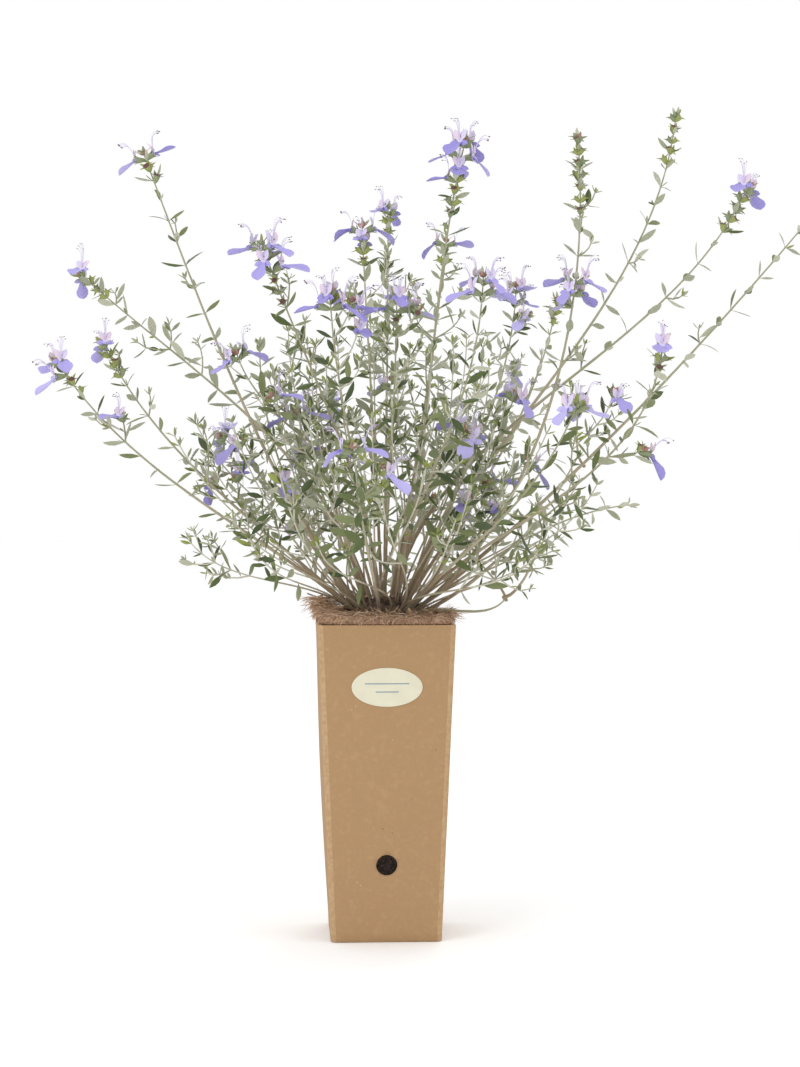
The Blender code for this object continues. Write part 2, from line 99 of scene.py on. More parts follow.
def new_finish(name, colour, roughness, grain, depth, sheen=0.0):
    """One base colour, with a fine grain in its relief and in how dull it is."""
    material = bpy.data.materials.new(name)
    material.use_nodes = True
    place = new_node(material, "TexCoord", {}).outputs["Object"]
    texture = new_node(material, "TexNoise", {
        "Vector": place, "Scale": grain, "Detail": GRAIN_DETAIL,
    }).outputs["Fac"]
    relief = new_node(material, "Bump", {
        "Height": texture, "Strength": GRAIN_STRENGTH, "Distance": depth * MM,
    })
    dull = new_node(material, "MapRange", {
        "Value": texture,
        "To Min": roughness - DULLNESS_SPREAD,
        "To Max": min(roughness + DULLNESS_SPREAD, 1.0),
    })
    feed(material, material.node_tree.nodes["Principled BSDF"], {
        "Base Color": (*shade(*colour), 1.0),
        "Sheen Weight": sheen,
        "Normal": relief.outputs["Normal"],
        "Roughness": dull.outputs["Result"],
    })
    return material


def add_mottle(material, scale, colours):
    """Lets the base colour drift from shade to shade in soft patches."""
    place = new_node(material, "TexCoord", {}).outputs["Object"]
    patches = new_node(material, "TexNoise", {
        "Vector": place, "Scale": scale, "Detail": PATCH_DETAIL,
    })
    ramp = new_node(material, "ValToRGB", {"Fac": patches.outputs["Fac"]})
    stops = ramp.color_ramp.elements
    while len(stops) < len(colours):
        stops.new(0.5)
    for index, colour in enumerate(colours):
        stops[index].position = PATCH_FROM + PATCH_SPAN * index / (len(colours) - 1)
        stops[index].color = (*shade(*colour), 1.0)
    feed(material, material.node_tree.nodes["Principled BSDF"], {
        "Base Color": ramp.outputs["Color"],
    })


def add_flecks(material, scale, size, rarity, colour):
    """Scatters small specks over a mottled base colour."""
    base = material.node_tree.nodes["Principled BSDF"].inputs["Base Color"]
    place = new_node(material, "TexCoord", {}).outputs["Object"]
    cells = new_node(material, "TexVoronoi", {"Vector": place, "Scale": scale})
    near = new_node(material, "Math", {0: cells.outputs["Distance"], 1: size},
                    operation="LESS_THAN")
    chosen = new_node(material, "Math", {0: cells.outputs["Color"], 1: rarity},
                      operation="GREATER_THAN")
    both = new_node(material, "Math", {0: near.outputs[0], 1: chosen.outputs[0]},
                    operation="MULTIPLY")
    factor, first, second = 0, 6, 7  # the mix's inputs for colours
    mix = new_node(material, "Mix", {
        factor: both.outputs[0],
        first: base.links[0].from_socket,
        second: (*shade(*colour), 1.0),
    }, data_type="RGBA")
    material.node_tree.links.new(mix.outputs[2], base)


def loft(rings, start=None, end=None, loop=False):
    """A closed skin through rings of equal count, wound to face outwards.

    Each face is marked with its band along the rings and its place round them.
    """
    count = len(rings[0])
    points = [point for ring in rings for point in ring]
    faces = []
    marks = []
    bands = len(rings) if loop else len(rings) - 1
    for band in range(bands):
        low = band * count
        high = (band + 1) % len(rings) * count
        for step in range(count):
            after = (step + 1) % count
            faces.append((low + step, low + after, high + after, high + step))
            marks.append((band, step / count))
    if loop:
        return points, faces, marks
    for band, first, middle in ((-1, 0, start), (bands, bands * count, end)):
        order = list(range(first, first + count))
        if band < 0:
            order.reverse()
        if middle is None:
            faces.append(tuple(order))
            marks.append((band, 0.0))
            continue
        points.append(middle)
        for corner, after in zip(order, order[1:] + order[:1]):
            faces.append((len(points) - 1, corner, after))
            marks.append((band, ((after if band < 0 else corner) - first) / count))
    return points, faces, marks


def swing(first, second, angle):
    """The direction at an angle from one direction towards another, square to it."""
    return first * math.cos(angle) + second * math.sin(angle)


def tube(points, radii, sides, pointed=False):
    """A tapering tube along points, with flat or pointed ends."""
    rings = []
    turns = [2 * math.pi * step / sides for step in range(sides)]
    normal = (points[1] - points[0]).orthogonal().normalized()
    for index, point in enumerate(points):
        before = points[max(index - 1, 0)]
        after = points[min(index + 1, len(points) - 1)]
        along = (after - before).normalized()
        normal = (normal - along * normal.dot(along)).normalized()
        across = along.cross(normal)
        rings.append([point + swing(normal, across, turn) * radii[index] for turn in turns])
    if pointed:
        return loft(rings[1:-1], points[0], points[-1])
    return loft(rings)


def add_object(name, data):
    """A new object in the scene."""
    thing = bpy.data.objects.new(name, data)
    bpy.context.scene.collection.objects.link(thing)
    return thing


class Gathered:
    """Many solids of one kind, gathered for one mesh."""

    def __init__(self):
        self.points = []
        self.faces = []
        self.finishes = []

    def add(self, solid, finish=0):
        """Adds a solid. Finish is a number, or a rule that takes each face's marks."""
        points, faces, marks = solid
        first = len(self.points)
        self.points.extend(points)
        for face, (band, around) in zip(faces, marks):
            self.faces.append(tuple(first + corner for corner in face))
            self.finishes.append(finish(band, around) if callable(finish) else finish)

    def make(self, name, finishes, sharp=45):
        """The object, smooth but for edges sharper than an angle in degrees."""
        mesh = bpy.data.meshes.new(name)
        mesh.from_pydata([point * MM for point in self.points], [], self.faces)
        for finish in finishes:
            mesh.materials.append(finish)
        mesh.polygons.foreach_set("material_index", self.finishes)
        mesh.polygons.foreach_set("use_smooth", [True] * len(self.faces))
        mesh.set_sharp_from_angle(angle=math.radians(sharp))
        mesh.update()
        return add_object(name, mesh)


def pot_half(height):
    """Half the box's outer side at a height, along its edges."""
    return (POT_BASE + (POT_TOP - POT_BASE) * height / POT_HEIGHT) / 2


def pot_swell(height):
    """How far the middle of a side stands out at a height."""
    return POT_BULGE * math.sin(math.pi * height / POT_HEIGHT)


def front_of_box(x, z, proud):
    """A point so far in front of the box's pillowed front."""
    along = x / (pot_half(z) - POT_CORNER)
    return Vector((x, -pot_half(z) - pot_swell(z) * (1 - along * along) - proud, z))


def box_ring(half, corner, height, swell=0.0):
    """A square ring with round corners, and sides that swell in the middle."""
    straight = half - corner
    points = []
    for quarter in range(4):
        turn = Matrix.Rotation(math.radians(90 * quarter), 3, "Z")
        for step in range(SIDE_STEPS):
            along = -1 + 2 * step / SIDE_STEPS
            out = half + swell * (1 - along * along)
            points.append(turn @ Vector((straight * along, -out, height)))
        for step in range(CORNER_STEPS):
            angle = math.radians(-90 + 90 * step / CORNER_STEPS)
            reach = Vector((math.cos(angle), math.sin(angle), 0.0)) * corner
            points.append(turn @ (Vector((straight, -straight, height)) + reach))
    return points


def box_finish(band, around):
    """The crease's finish on the upright edges, the card's elsewhere."""
    quarter = SIDE_STEPS + CORNER_STEPS
    return 1 if round(around * 4 * quarter) % quarter >= SIDE_STEPS else 0


kraft = new_finish("kraft card", KRAFT[0], roughness=0.82, grain=900.0, depth=0.12)
add_mottle(kraft, scale=260.0, colours=KRAFT)
add_flecks(kraft, scale=170.0, size=0.06, rarity=0.76, colour=DARK_FLECK)
add_flecks(kraft, scale=240.0, size=0.06, rarity=0.76, colour=PALE_FLECK)
crease = new_finish("creased card", CREASE, roughness=0.85, grain=1400.0, depth=0.15)
add_mottle(crease, scale=420.0, colours=(CREASE, KRAFT[2]))
card_core = new_finish("card core", CARD_CORE, roughness=0.9, grain=2600.0, depth=0.3)
box_finishes = [kraft, crease, card_core]

box_rings = [box_ring(pot_half(0.0) - BOX_EDGE, POT_CORNER - BOX_EDGE, 0.0)]
for level in range(BOX_LEVELS + 1):
    height = BOX_EDGE + (POT_HEIGHT - 2 * BOX_EDGE) * level / BOX_LEVELS
    box_rings.append(box_ring(pot_half(height), POT_CORNER, height, pot_swell(height)))
inner_corner = POT_CORNER - POT_WALL / 2
box_rings.append(box_ring(pot_half(POT_HEIGHT) - BOX_EDGE, POT_CORNER - BOX_EDGE, POT_HEIGHT))
box_rings.append(box_ring(pot_half(POT_HEIGHT) - POT_WALL, inner_corner, POT_HEIGHT))
box_rings.append(box_ring(pot_half(POT_WALL) - POT_WALL, inner_corner, POT_WALL))
box_skin = Gathered()
box_skin.add(loft(box_rings), box_finish)
card_box = box_skin.make("card_box", box_finishes)

punch = Gathered()
punch_ends = [Vector((0.0, -pot_half(0.0) - reach, HOLE_HEIGHT)) for reach in PUNCH_ENDS]
punch.add(tube(punch_ends, [HOLE_RADIUS] * 2, HOLE_STEPS))
punch_tool = punch.make("punch", [card_core])
cut = card_box.modifiers.new("punched hole", "BOOLEAN")
cut.operation = "DIFFERENCE"
cut.object = punch_tool
seen = card_box.evaluated_get(bpy.context.evaluated_depsgraph_get())
punched = bpy.data.meshes.new_from_object(seen)
card_box.modifiers.clear()
card_box.data = punched
bpy.data.objects.remove(punch_tool, do_unlink=True)
for face in punched.polygons:
    off_centre = math.hypot(face.center.x, face.center.z - HOLE_HEIGHT * MM)
    at_hole = off_centre < (HOLE_RADIUS + HOLE_MARGIN) * MM and face.center.y < 0
    if at_hole and abs(face.normal.y) < 0.5:
        face.material_index = box_finishes.index(card_core)
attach(card_box, "root")
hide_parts("pot")

flap_rings = []
flap_inside, flap_outside = FLAP_FACES
for level in range(BOX_LEVELS + 1):
    height = FLAP_MARGIN + (POT_HEIGHT - 2 * FLAP_MARGIN) * level / BOX_LEVELS
    near = FLAP_INSET - pot_half(height)
    far = near + FLAP_WIDTH
    corners = []
    for x, proud in ((near, flap_inside), (far, flap_inside), (far, flap_outside),
                     (near, flap_outside)):
        corners.append(Vector((x, -front_of_box(x, height, proud).y, height)))
    flap_rings.append(corners)
flap_skin = Gathered()
flap_skin.add(loft(flap_rings))
glued_flap = flap_skin.make("glued_flap", [kraft])
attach(glued_flap, "root")

# Label: a thin oval of cream paper, stuck to the front below the rim. It is plain but for
# two fine ruled lines in faded blue ink.
LABEL_WIDTH = 40.0
LABEL_HEIGHT = 22.0
LABEL_MIDDLE = 145.0
LABEL_BACK = 0.1
LABEL_FACE = 0.5
LABEL_STEPS = 72
LABEL_RINGS = (  # share of the way out, distance off the box
    (0.5, LABEL_BACK), (0.99, LABEL_BACK), (1.0, 0.3), (0.99, LABEL_FACE),
    (0.75, LABEL_FACE), (0.5, LABEL_FACE), (0.25, LABEL_FACE),
)
CREAM = ((214, 210, 187), (209, 204, 180))
BLUE_INK = (92, 128, 146)
RULED_LINES = ((147.0, 25.0), (142.4, 13.0))  # height, width
LINE_HEIGHT = 0.5
LINE_STEP = 1.5
LINE_SINK = 0.05
LINE_PROUD = 0.04


def label_point(share, proud, angle):
    """A point of the oval: so far out from its middle, and off the box."""
    x = LABEL_WIDTH / 2 * share * math.cos(angle)
    z = LABEL_MIDDLE + LABEL_HEIGHT / 2 * share * math.sin(angle)
    return front_of_box(x, z, proud)


cream = new_finish("cream paper", CREAM[0], roughness=0.55, grain=1800.0, depth=0.04)
add_mottle(cream, scale=120.0, colours=CREAM)
ink = new_finish("faded blue ink", BLUE_INK, roughness=0.6, grain=2500.0, depth=0.02)
label_rings = []
for share, proud in LABEL_RINGS:
    label_rings.append([
        label_point(share, proud, 2 * math.pi * step / LABEL_STEPS) for step in range(LABEL_STEPS)
    ])
label_skin = Gathered()
label_skin.add(loft(label_rings, label_point(0, LABEL_BACK, 0), label_point(0, LABEL_FACE, 0)))
label_paper = label_skin.make("label_paper", [cream])
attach(label_paper, "root")
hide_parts("label")

line_skin = Gathered()
for line_height, line_width in RULED_LINES:
    line_rings = []
    count = round(line_width / LINE_STEP)
    for step in range(count + 1):
        x = line_width * (step / count - 0.5)
        low = line_height - LINE_HEIGHT / 2
        high = line_height + LINE_HEIGHT / 2
        line_rings.append([
            front_of_box(x, low, LABEL_FACE - LINE_SINK),
            front_of_box(x, high, LABEL_FACE - LINE_SINK),
            front_of_box(x, high, LABEL_FACE + LINE_PROUD),
            front_of_box(x, low, LABEL_FACE + LINE_PROUD),
        ])
    line_skin.add(loft(line_rings))
label_lines = line_skin.make("label_lines", [ink])
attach(label_lines, "root")

# Soil: dark peaty compost that fills the box to its brim. Its solid stays, with loose
# crumbs over the mound round the stool and behind the punched hole.
SEED = 31
GROUND = 182.0
CRUMB_SIDES = 5
CRUMB_ENDS = (-1.0, -0.45, 0.5, 1.0)
MOUND_CRUMBS = 340
MOUND_REACH = (17.5, 25.5)
MOUND_NARROWING = 0.97
MOUND_SCATTER = 0.6
MOUND_SIZES = (0.5, 1.5)
HOLE_CRUMBS = 90
HOLE_SPREAD = 1.0
HOLE_SIZES = (0.4, 1.1)
SOIL_BEHIND = 3.3
SOIL_SHADES = ((46, 34, 28), (30, 22, 18), (64, 48, 38))


def new_finishes(name, colours, **looks):
    """One finish for each colour, alike in all else."""
    return [
        new_finish(f"{name} {index}", colour, **looks) for index, colour in enumerate(colours)
    ]


def add_lump(gathered, middle, size, draw, finish):
    """A small rough lump, about as wide as it is long."""
    way = Vector([draw.gauss(0, 1) for _ in range(3)]).normalized()
    points = [middle + way * size * reach for reach in CRUMB_ENDS]
    radii = [0.0, size * draw.uniform(0.7, 1.0), size * draw.uniform(0.6, 0.9), 0.0]
    gathered.add(tube(points, radii, CRUMB_SIDES, pointed=True), finish)


soil = new_finish("potting compost", SOIL_SHADES[0], roughness=0.94, grain=700.0, depth=1.2)
add_mottle(soil, scale=500.0, colours=SOIL_SHADES)
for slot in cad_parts["root_ball"].material_slots:
    slot.material = soil

draw = random.Random(SEED)
crumbs = Gathered()
for _ in range(MOUND_CRUMBS):
    angle = draw.uniform(0, 2 * math.pi)
    reach = draw.uniform(*MOUND_REACH)
    spot = Vector((reach * math.cos(angle), reach * math.sin(angle) * MOUND_NARROWING, GROUND))
    spot += Vector((0, 0, draw.uniform(-MOUND_SCATTER, MOUND_SCATTER)))
    add_lump(crumbs, spot, draw.uniform(*MOUND_SIZES), draw, draw.randrange(3))
for _ in range(HOLE_CRUMBS):
    angle = draw.uniform(0, 2 * math.pi)
    reach = (HOLE_RADIUS + HOLE_SPREAD) * math.sqrt(draw.random())
    x = reach * math.cos(angle)
    spot = front_of_box(x, HOLE_HEIGHT + reach * math.sin(angle), -SOIL_BEHIND)
    add_lump(crumbs, spot, draw.uniform(*HOLE_SIZES), draw, draw.randrange(3))
soil_crumbs = crumbs.make(
    "soil_crumbs", new_finishes("crumb", SOIL_SHADES, roughness=0.95, grain=1500.0, depth=0.5)
)
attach(soil_crumbs, "root")

# Fibre mat: a torn square of coconut fibre pressed round the stool to keep the soil in. It
# is a matted body with thousands of loose hairs, and a tuft that hangs over the left rim.
MAT_BOTTOM = POT_HEIGHT + 0.3
MAT_THICKNESS = 4.2
MAT_HALF = 37.7
MAT_HOLE = 25.5
MAT_SQUARENESS = 0.9
MAT_STEPS = 168
MAT_RAG = 1.2
RAG_SCALE = 11.0
RAG_SINK = 0.4
MAT_LUMPS = 0.22
LUMP_SCALE = 0.3
LUMP_LEVEL = 4.0
MAT_TUFT = 8.5
MAT_OVERHANG = 4.0
TUFT_NARROWING = 6
MAT_PROFILE = (  # share of the way out from the hole, share of the thickness
    (0.0, 0.0), (0.0, 0.55), (0.06, 0.88), (0.2, 1.02), (0.45, 1.06), (0.75, 1.04),
    (0.95, 0.95), (1.02, 0.5), (1.0, 0.0),
)
HAIR_RADIUS = 0.13
HAIR_STEPS = 5
HAIR_WANDER = 0.28
COIR_HAIRS = 3600
COIR_LENGTHS = (4.0, 12.0)
COIR_CROWDING = 0.8
COIR_LIFT = 0.98
COIR_RISE = 0.35
COIR_DROOP = 0.1
RIM_HAIRS = 700
RIM_LENGTHS = (2.0, 6.0)
RIM_SHARE = 0.97
RIM_LIFTS = (0.3, 0.9)
RIM_RISE = 0.1
RIM_SPREAD = 0.7
RIM_DROOP = 0.3
TUFT_SPREAD = 0.35
COIR_SHADES = ((196, 164, 136), (172, 138, 110), (214, 188, 160), (138, 106, 82))


def mat_point(angle, share, lift):
    """A point of the mat: so far out from its hole, and up its thickness."""
    ray = Vector((math.cos(angle), math.sin(angle), 0.0))
    tuft = max(0.0, -ray.x) ** TUFT_NARROWING * (1 - ray.y / 2)
    edge = MAT_HALF / max(abs(ray.x), abs(ray.y)) ** MAT_SQUARENESS
    edge += MAT_OVERHANG * tuft * lift + MAT_RAG * (noise.noise(ray * RAG_SCALE) - RAG_SINK)
    reach = MAT_HOLE + (edge - MAT_HOLE) * share
    thick = MAT_THICKNESS + MAT_TUFT * tuft * min(2 * share, 1.0)
    place = Vector((ray.x * reach * LUMP_SCALE, ray.y * reach * LUMP_SCALE, LUMP_LEVEL))
    lift *= 1 + MAT_LUMPS * noise.noise(place)
    return ray * reach + Vector((0.0, 0.0, MAT_BOTTOM + thick * lift))


def add_hair(gathered, start, way, length, droop, draw, finish):
    """One fibre that wanders from its root and sinks towards its end."""
    points = [start]
    for _ in range(HAIR_STEPS):
        jitter = Vector((draw.gauss(0, 1), draw.gauss(0, 1), draw.gauss(0, 0.5)))
        way = (way + jitter * HAIR_WANDER - Vector((0, 0, droop))).normalized()
        points.append(points[-1] + way * length / HAIR_STEPS)
    gathered.add(tube(points, [HAIR_RADIUS] * len(points), 3, pointed=True), finish)


coir_body = new_finish("matted coir", COIR_SHADES[1], roughness=0.95, grain=1600.0, depth=1.4)
add_mottle(coir_body, scale=700.0, colours=(COIR_SHADES[3], COIR_SHADES[1], COIR_SHADES[0]))
mat_rings = []
for step in range(MAT_STEPS):
    angle = 2 * math.pi * (step + 0.5) / MAT_STEPS
    mat_rings.append([mat_point(angle, share, lift) for share, lift in MAT_PROFILE])
mat_skin = Gathered()
mat_skin.add(loft(mat_rings, loop=True))
coir_mat = mat_skin.make("coir_mat", [coir_body])
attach(coir_mat, "root")
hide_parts("fibre_mat")

hairs = Gathered()
for _ in range(COIR_HAIRS):
    angle = draw.uniform(0, 2 * math.pi)
    start = mat_point(angle, draw.random() ** COIR_CROWDING, COIR_LIFT)
    flat = draw.uniform(0, 2 * math.pi)
    way = Vector((math.cos(flat), math.sin(flat), draw.uniform(0.0, COIR_RISE))).normalized()
    length = draw.uniform(*COIR_LENGTHS)
    add_hair(hairs, start, way, length, COIR_DROOP, draw, draw.randrange(4))
for index in range(RIM_HAIRS):
    angle = draw.uniform(0, 2 * math.pi)
    if index % 3 == 0:
        angle = math.pi + draw.gauss(0, TUFT_SPREAD)
    start = mat_point(angle, RIM_SHARE, draw.uniform(*RIM_LIFTS))
    way = Vector((
        math.cos(angle + draw.gauss(0, RIM_SPREAD)),
        math.sin(angle + draw.gauss(0, RIM_SPREAD)),
        RIM_RISE,
    )).normalized()
    length = draw.uniform(*RIM_LENGTHS)
    add_hair(hairs, start, way, length, RIM_DROOP, draw, draw.randrange(4))
coir_hairs = hairs.make(
    "coir_hairs", new_finishes("coir fibre", COIR_SHADES, roughness=0.9, grain=3000.0, depth=0.1)
)
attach(coir_hairs, "root")

# Stool: the old woody crown that every stem rises from, cut back many times. It is a
# knobbly half dome with a flared collar on the soil, and dead stubs of earlier stems.
STOOL = Vector((21.0, 17.0, 12.0))
STOOL_STEPS = 72
STOOL_RINGS = 16
STOOL_TOP_SLOPE = 84
STOOL_FLARE = 2.2
BUTTRESSES = 5
FLARE_FALL = 6
KNOBS = ((0.06, 0.3), (0.05, 0.9))  # share of the size, noise scale
KNOB_SINK = 0.03
STUBS = 26
STUB_SIDES = 8
STUB_TURN_JITTER = 20
STUB_SLOPES = (18, 75)
STUB_SINK = 1.5
STUB_RADII = (0.9, 1.9)
STUB_TAPER = (1.3, 1.0, 0.85)
STUB_BEND = 0.4
STUB_LENGTHS = (3.5, 8.5)
STUB_LEAN = 0.2
STUB_LIFT = 0.25
EVEN_TURN = 137.5  # degrees from one to the next, so that none line up
OLD_WOOD = ((92, 74, 58), (62, 48, 38), (124, 104, 84))
CUT_WOOD = (150, 124, 96)


def heading(azimuth, slope):
    """A direction that turns from +X towards +Y, and slopes up."""
    azimuth = math.radians(azimuth)
    slope = math.radians(slope)
    return Vector((
        math.cos(slope) * math.cos(azimuth),
        math.cos(slope) * math.sin(azimuth),
        math.sin(slope),
    ))


def stool_point(direction):
    """Where the stool's dome faces a direction."""
    stretched = Vector([STOOL[axis] ** 2 * direction[axis] for axis in range(3)])
    scale = math.sqrt(sum((STOOL[axis] * direction[axis]) ** 2 for axis in range(3)))
    return stretched / scale + Vector((0.0, 0.0, GROUND))


old_wood = new_finish("old wood", OLD_WOOD[0], roughness=0.92, grain=900.0, depth=1.6)
add_mottle(old_wood, scale=350.0, colours=(OLD_WOOD[1], OLD_WOOD[0], OLD_WOOD[2]))
cut_wood = new_finish("cut wood", CUT_WOOD, roughness=0.85, grain=1500.0, depth=0.4)
stool_rings = []
for level in range(STOOL_RINGS):
    slope = math.radians(STOOL_TOP_SLOPE * level / (STOOL_RINGS - 1))
    ring = []
    for step in range(STOOL_STEPS):
        angle = 2 * math.pi * step / STOOL_STEPS
        spot = Vector((
            STOOL.x * math.cos(slope) * math.cos(angle),
            STOOL.y * math.cos(slope) * math.sin(angle),
            STOOL.z * math.sin(slope),
        ))
        flare = STOOL_FLARE * (0.6 + 0.4 * math.sin(BUTTRESSES * angle))
        flare *= (1 - math.sin(slope)) ** FLARE_FALL
        grown = 1 + sum(share * noise.noise(spot * scale) for share, scale in KNOBS) - KNOB_SINK
        spot += Vector((math.cos(angle), math.sin(angle), 0.0)) * flare
        ring.append(Vector((spot.x * grown, spot.y * grown, spot.z * grown + GROUND)))
    stool_rings.append(ring)
stool_skin = Gathered()
stool_skin.add(loft(stool_rings, None, Vector((0.0, 0.0, GROUND + STOOL.z))))
for index in range(STUBS):
    azimuth = EVEN_TURN * index + draw.uniform(-STUB_TURN_JITTER, STUB_TURN_JITTER)
    way = heading(azimuth, draw.uniform(*STUB_SLOPES))
    foot = stool_point(way) - way * STUB_SINK
    thick = draw.uniform(*STUB_RADII)
    lean = way + Vector((draw.gauss(0, STUB_LEAN), draw.gauss(0, STUB_LEAN), STUB_LIFT))
    tip = foot + lean.normalized() * draw.uniform(*STUB_LENGTHS)
    radii = [thick * share for share in STUB_TAPER]
    stub = tube([foot, foot.lerp(tip, STUB_BEND), tip], radii, STUB_SIDES)
    stool_skin.add(stub, lambda band, around: 1 if band == 2 else 0)  # the cut end
woody_stool = stool_skin.make("woody_stool", [old_wood, cut_wood])
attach(woody_stool, "root")
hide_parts("stool")

# Limbs: the bare lower lengths of the stems, thin and nearly straight wood under a worn
# grey felt, brown towards the stool. Each rises from the stool's dome, or leaves another
# limb's end, and is a tube with a fine bark relief.
SLIM_RADIUS = 0.68
STOUTNESS = 0.0018
TIP_RADIUS = 0.36
STOUT_FEET = {"loop": 1.25, "loop_arm": 0.95, "cut_stub": 1.3}
SHOOT_GRIP = 0.33
FORK_GRIP = 0.2
TIP_GRIP = 0.35
FORK_DROP = 1.5
STEM_SAMPLES = 20
LIMB_CHORD = 25.0  # of the solids' straight lengths, which forks sit on
BARK_STEP = 3.5
LIMB_SIDES = 9
ROOT_DEPTH = 3.0
ROOT_SWELL = 1.35
BARK_LUMPS = (0.16, 0.7)  # share of the radius, noise scale
BARK_STREAKS = (0.12, 1.6, 0.3)  # share of the radius, noise scale across and along
FELT = (  # young, older, oldest, and the inner twigs' whitest
    (156, 154, 126), (164, 155, 130), (146, 129, 104), (192, 189, 170),
)
YOUNG, OLDER, OLDEST, WHITEST = range(4)
YOUNG_FROM = 0.5
OLDER_FROM = 0.2
FELT_DRIFT = (0.06, 0.11)  # share of the length, noise scale

# Reach and rise place a stem's tip. Launch and finish are the slopes of its two ends.
# Bare is the leafless share, a limb of its own, or 0 where leaves start low. Stars are
# the old open bells below the blooms.
# name, azimuth, reach, rise, launch, finish, bare, blooms, stars
SHOOTS = (
    ("left_low", 192, 188, 146, 40, 58, 0.42, 2, 4),
    ("left_pale", 170, 166, 160, 42, 64, 0.45, 1, 6),
    ("left_far", 157, 196, 204, 74, 40, 0.48, 1, 6),
    ("left_tall", 203, 146, 258, 52, 68, 0.50, 1, 3),
    ("left_inner", 232, 113, 206, 82, 60, 0.42, 3, 6),
    ("left_light", 127, 120, 162, 38, 90, 0.48, 0, 0),
    ("top_cluster", 322, 56, 270, 74, 74, 0.45, 4, 8),
    ("right_light", 50, 182, 194, 44, 72, 0.42, 0, 6),
    ("right_spike", 342, 113, 272, 37, 95, 0.46, 3, 14),
    ("right_tall", 16, 185, 298, 65, 83, 0.48, 0, 10),
    ("right_wide", 356, 209, 248, 80, 66, 0.50, 1, 8),
    ("right_far", 2, 258, 242, 38, 50, 0.39, 0, 0),
    ("right_bloom", 322, 182, 152, 44, 84, 0.48, 1, 4),
    ("right_low", 30, 180, 64, 28, 4, 0.45, 0, 0),
    ("front_low", 262, 165, 96, 32, 50, 0.40, 1, 0),
    ("front_side", 304, 168, 118, 36, 58, 0.40, 1, 0),
    ("back_low", 98, 178, 130, 32, 62, 0.40, 1, 0),
    ("back_side", 72, 150, 232, 56, 66, 0.42, 1, 4),
    ("loop", 332, 77, 14, 21, 55, 1.0, 0, 0),
    ("cut_stub", 354, 113, 74, 22, 34, 1.0, 0, 0),
    ("front_left", 255, 132, 178, 66, 76, 0.0, 2, 0),
    ("middle_left", 104, 46, 230, 82, 80, 0.0, 2, 4),
    ("middle_back", 86, 104, 248, 73, 84, 0.0, 1, 4),
    ("front_middle", 272, 86, 180, 80, 86, 0.0, 2, 2),
    ("front_right", 290, 135, 186, 69, 86, 0.0, 2, 0),
    ("back_right", 44, 118, 198, 58, 86, 0.0, 2, 0),
    ("back_left", 148, 112, 106, 46, 36, 0.0, 1, 0),
    ("inner_left", 216, 62, 118, 64, 74, 0.0, 1, 0),
    ("inner_right", 350, 76, 128, 50, 66, 0.0, 1, 0),
    ("inner_front", 318, 66, 104, 56, 70, 0.0, 1, 0),
)
# name, limb, seat, azimuth, reach, rise, finish, bare, blooms
FORKS = (
    ("left_inner_side", "left_inner", "side", 204, 92, 150, 72, 0.0, 1),
    ("left_light_side", "left_light", "side", 124, 70, 160, 112, 0.0, 0),
    ("right_far_side", "right_far", "side", 354, 112, 124, 84, 0.0, 1),
    ("loop_arm", "loop", "tip", 332, 99, 59, 88, 0.55, 0),
    ("loop_twig", "loop", "side", 332, 54, 38, 137, 0.0, 0),
)


class Stem:
    """A smooth curve from foot to tip, thinner towards its tip."""

    def __init__(self, start, launch, tip, finish, grip, level=None, foot=None):
        span = (tip - start).length
        self.knots = (start, start + launch * span * grip, tip - finish * span * TIP_GRIP, tip)
        self.launch = launch
        self.level = level or launch.orthogonal().normalized()
        places = [self.at(step / STEM_SAMPLES) for step in range(STEM_SAMPLES + 1)]
        self.length = sum((after - before).length for before, after in zip(places, places[1:]))
        self.foot = foot or SLIM_RADIUS + STOUTNESS * self.length

    def at(self, share):
        """The point at a share of the way up."""
        rest = 1 - share
        weights = (rest ** 3, 3 * rest ** 2 * share, 3 * rest * share ** 2, share ** 3)
        return sum((knot * weight for knot, weight in zip(self.knots, weights)), Vector())

    def along(self, share):
        """The direction of growth at a share of the way up."""
        low = max(share - 0.01, 0.0)
        return (self.at(min(share + 0.01, 1.0)) - self.at(low)).normalized()

    def radius(self, share):
        """Half the thickness at a share of the way up."""
        return self.foot + (TIP_RADIUS - self.foot) * share

    def out(self, share, turn):
        """A direction square to the stem, turned round it by an angle in degrees."""
        above = self.along(share).cross(self.level)
        return swing(self.level, above, math.radians(turn))


def add_bark(gathered, stem, low, high, sides, rooted=False, young=YOUNG):
    """A tapering tube with the stem's fine bark relief, in the felt of each height."""
    count = max(3, round(stem.length * (high - low) / BARK_STEP))
    shares = [low + (high - low) * index / count for index in range(count + 1)]
    centres = [stem.at(share) for share in shares]
    radii = [stem.radius(share) for share in shares]
    if rooted:
        centres.insert(0, centres[0] - stem.launch * ROOT_DEPTH)
        radii.insert(0, radii[0] * ROOT_SWELL)
        shares.insert(0, 0.0)
    points, faces, marks = tube(centres, radii, sides)
    lumps, lump_scale = BARK_LUMPS
    streaks, across, along = BARK_STREAKS
    rough = []
    for index, point in enumerate(points):
        centre = centres[min(index // sides, len(centres) - 1)]
        streak = noise.noise(Vector((point.x * across, point.y * across, point.z * along)))
        swell = 1 + lumps * noise.noise(point * lump_scale) + streaks * streak
        rough.append(centre + (point - centre) * swell)

    def felt(band, around):
        ring = min(max(band, 0), len(shares) - 1)
        drift, drift_scale = FELT_DRIFT
        height = shares[ring] + drift * noise.noise(centres[ring] * drift_scale)
        return young if height > YOUNG_FROM else OLDER if height > OLDER_FROM else OLDEST

    gathered.add((rough, faces, marks), felt)


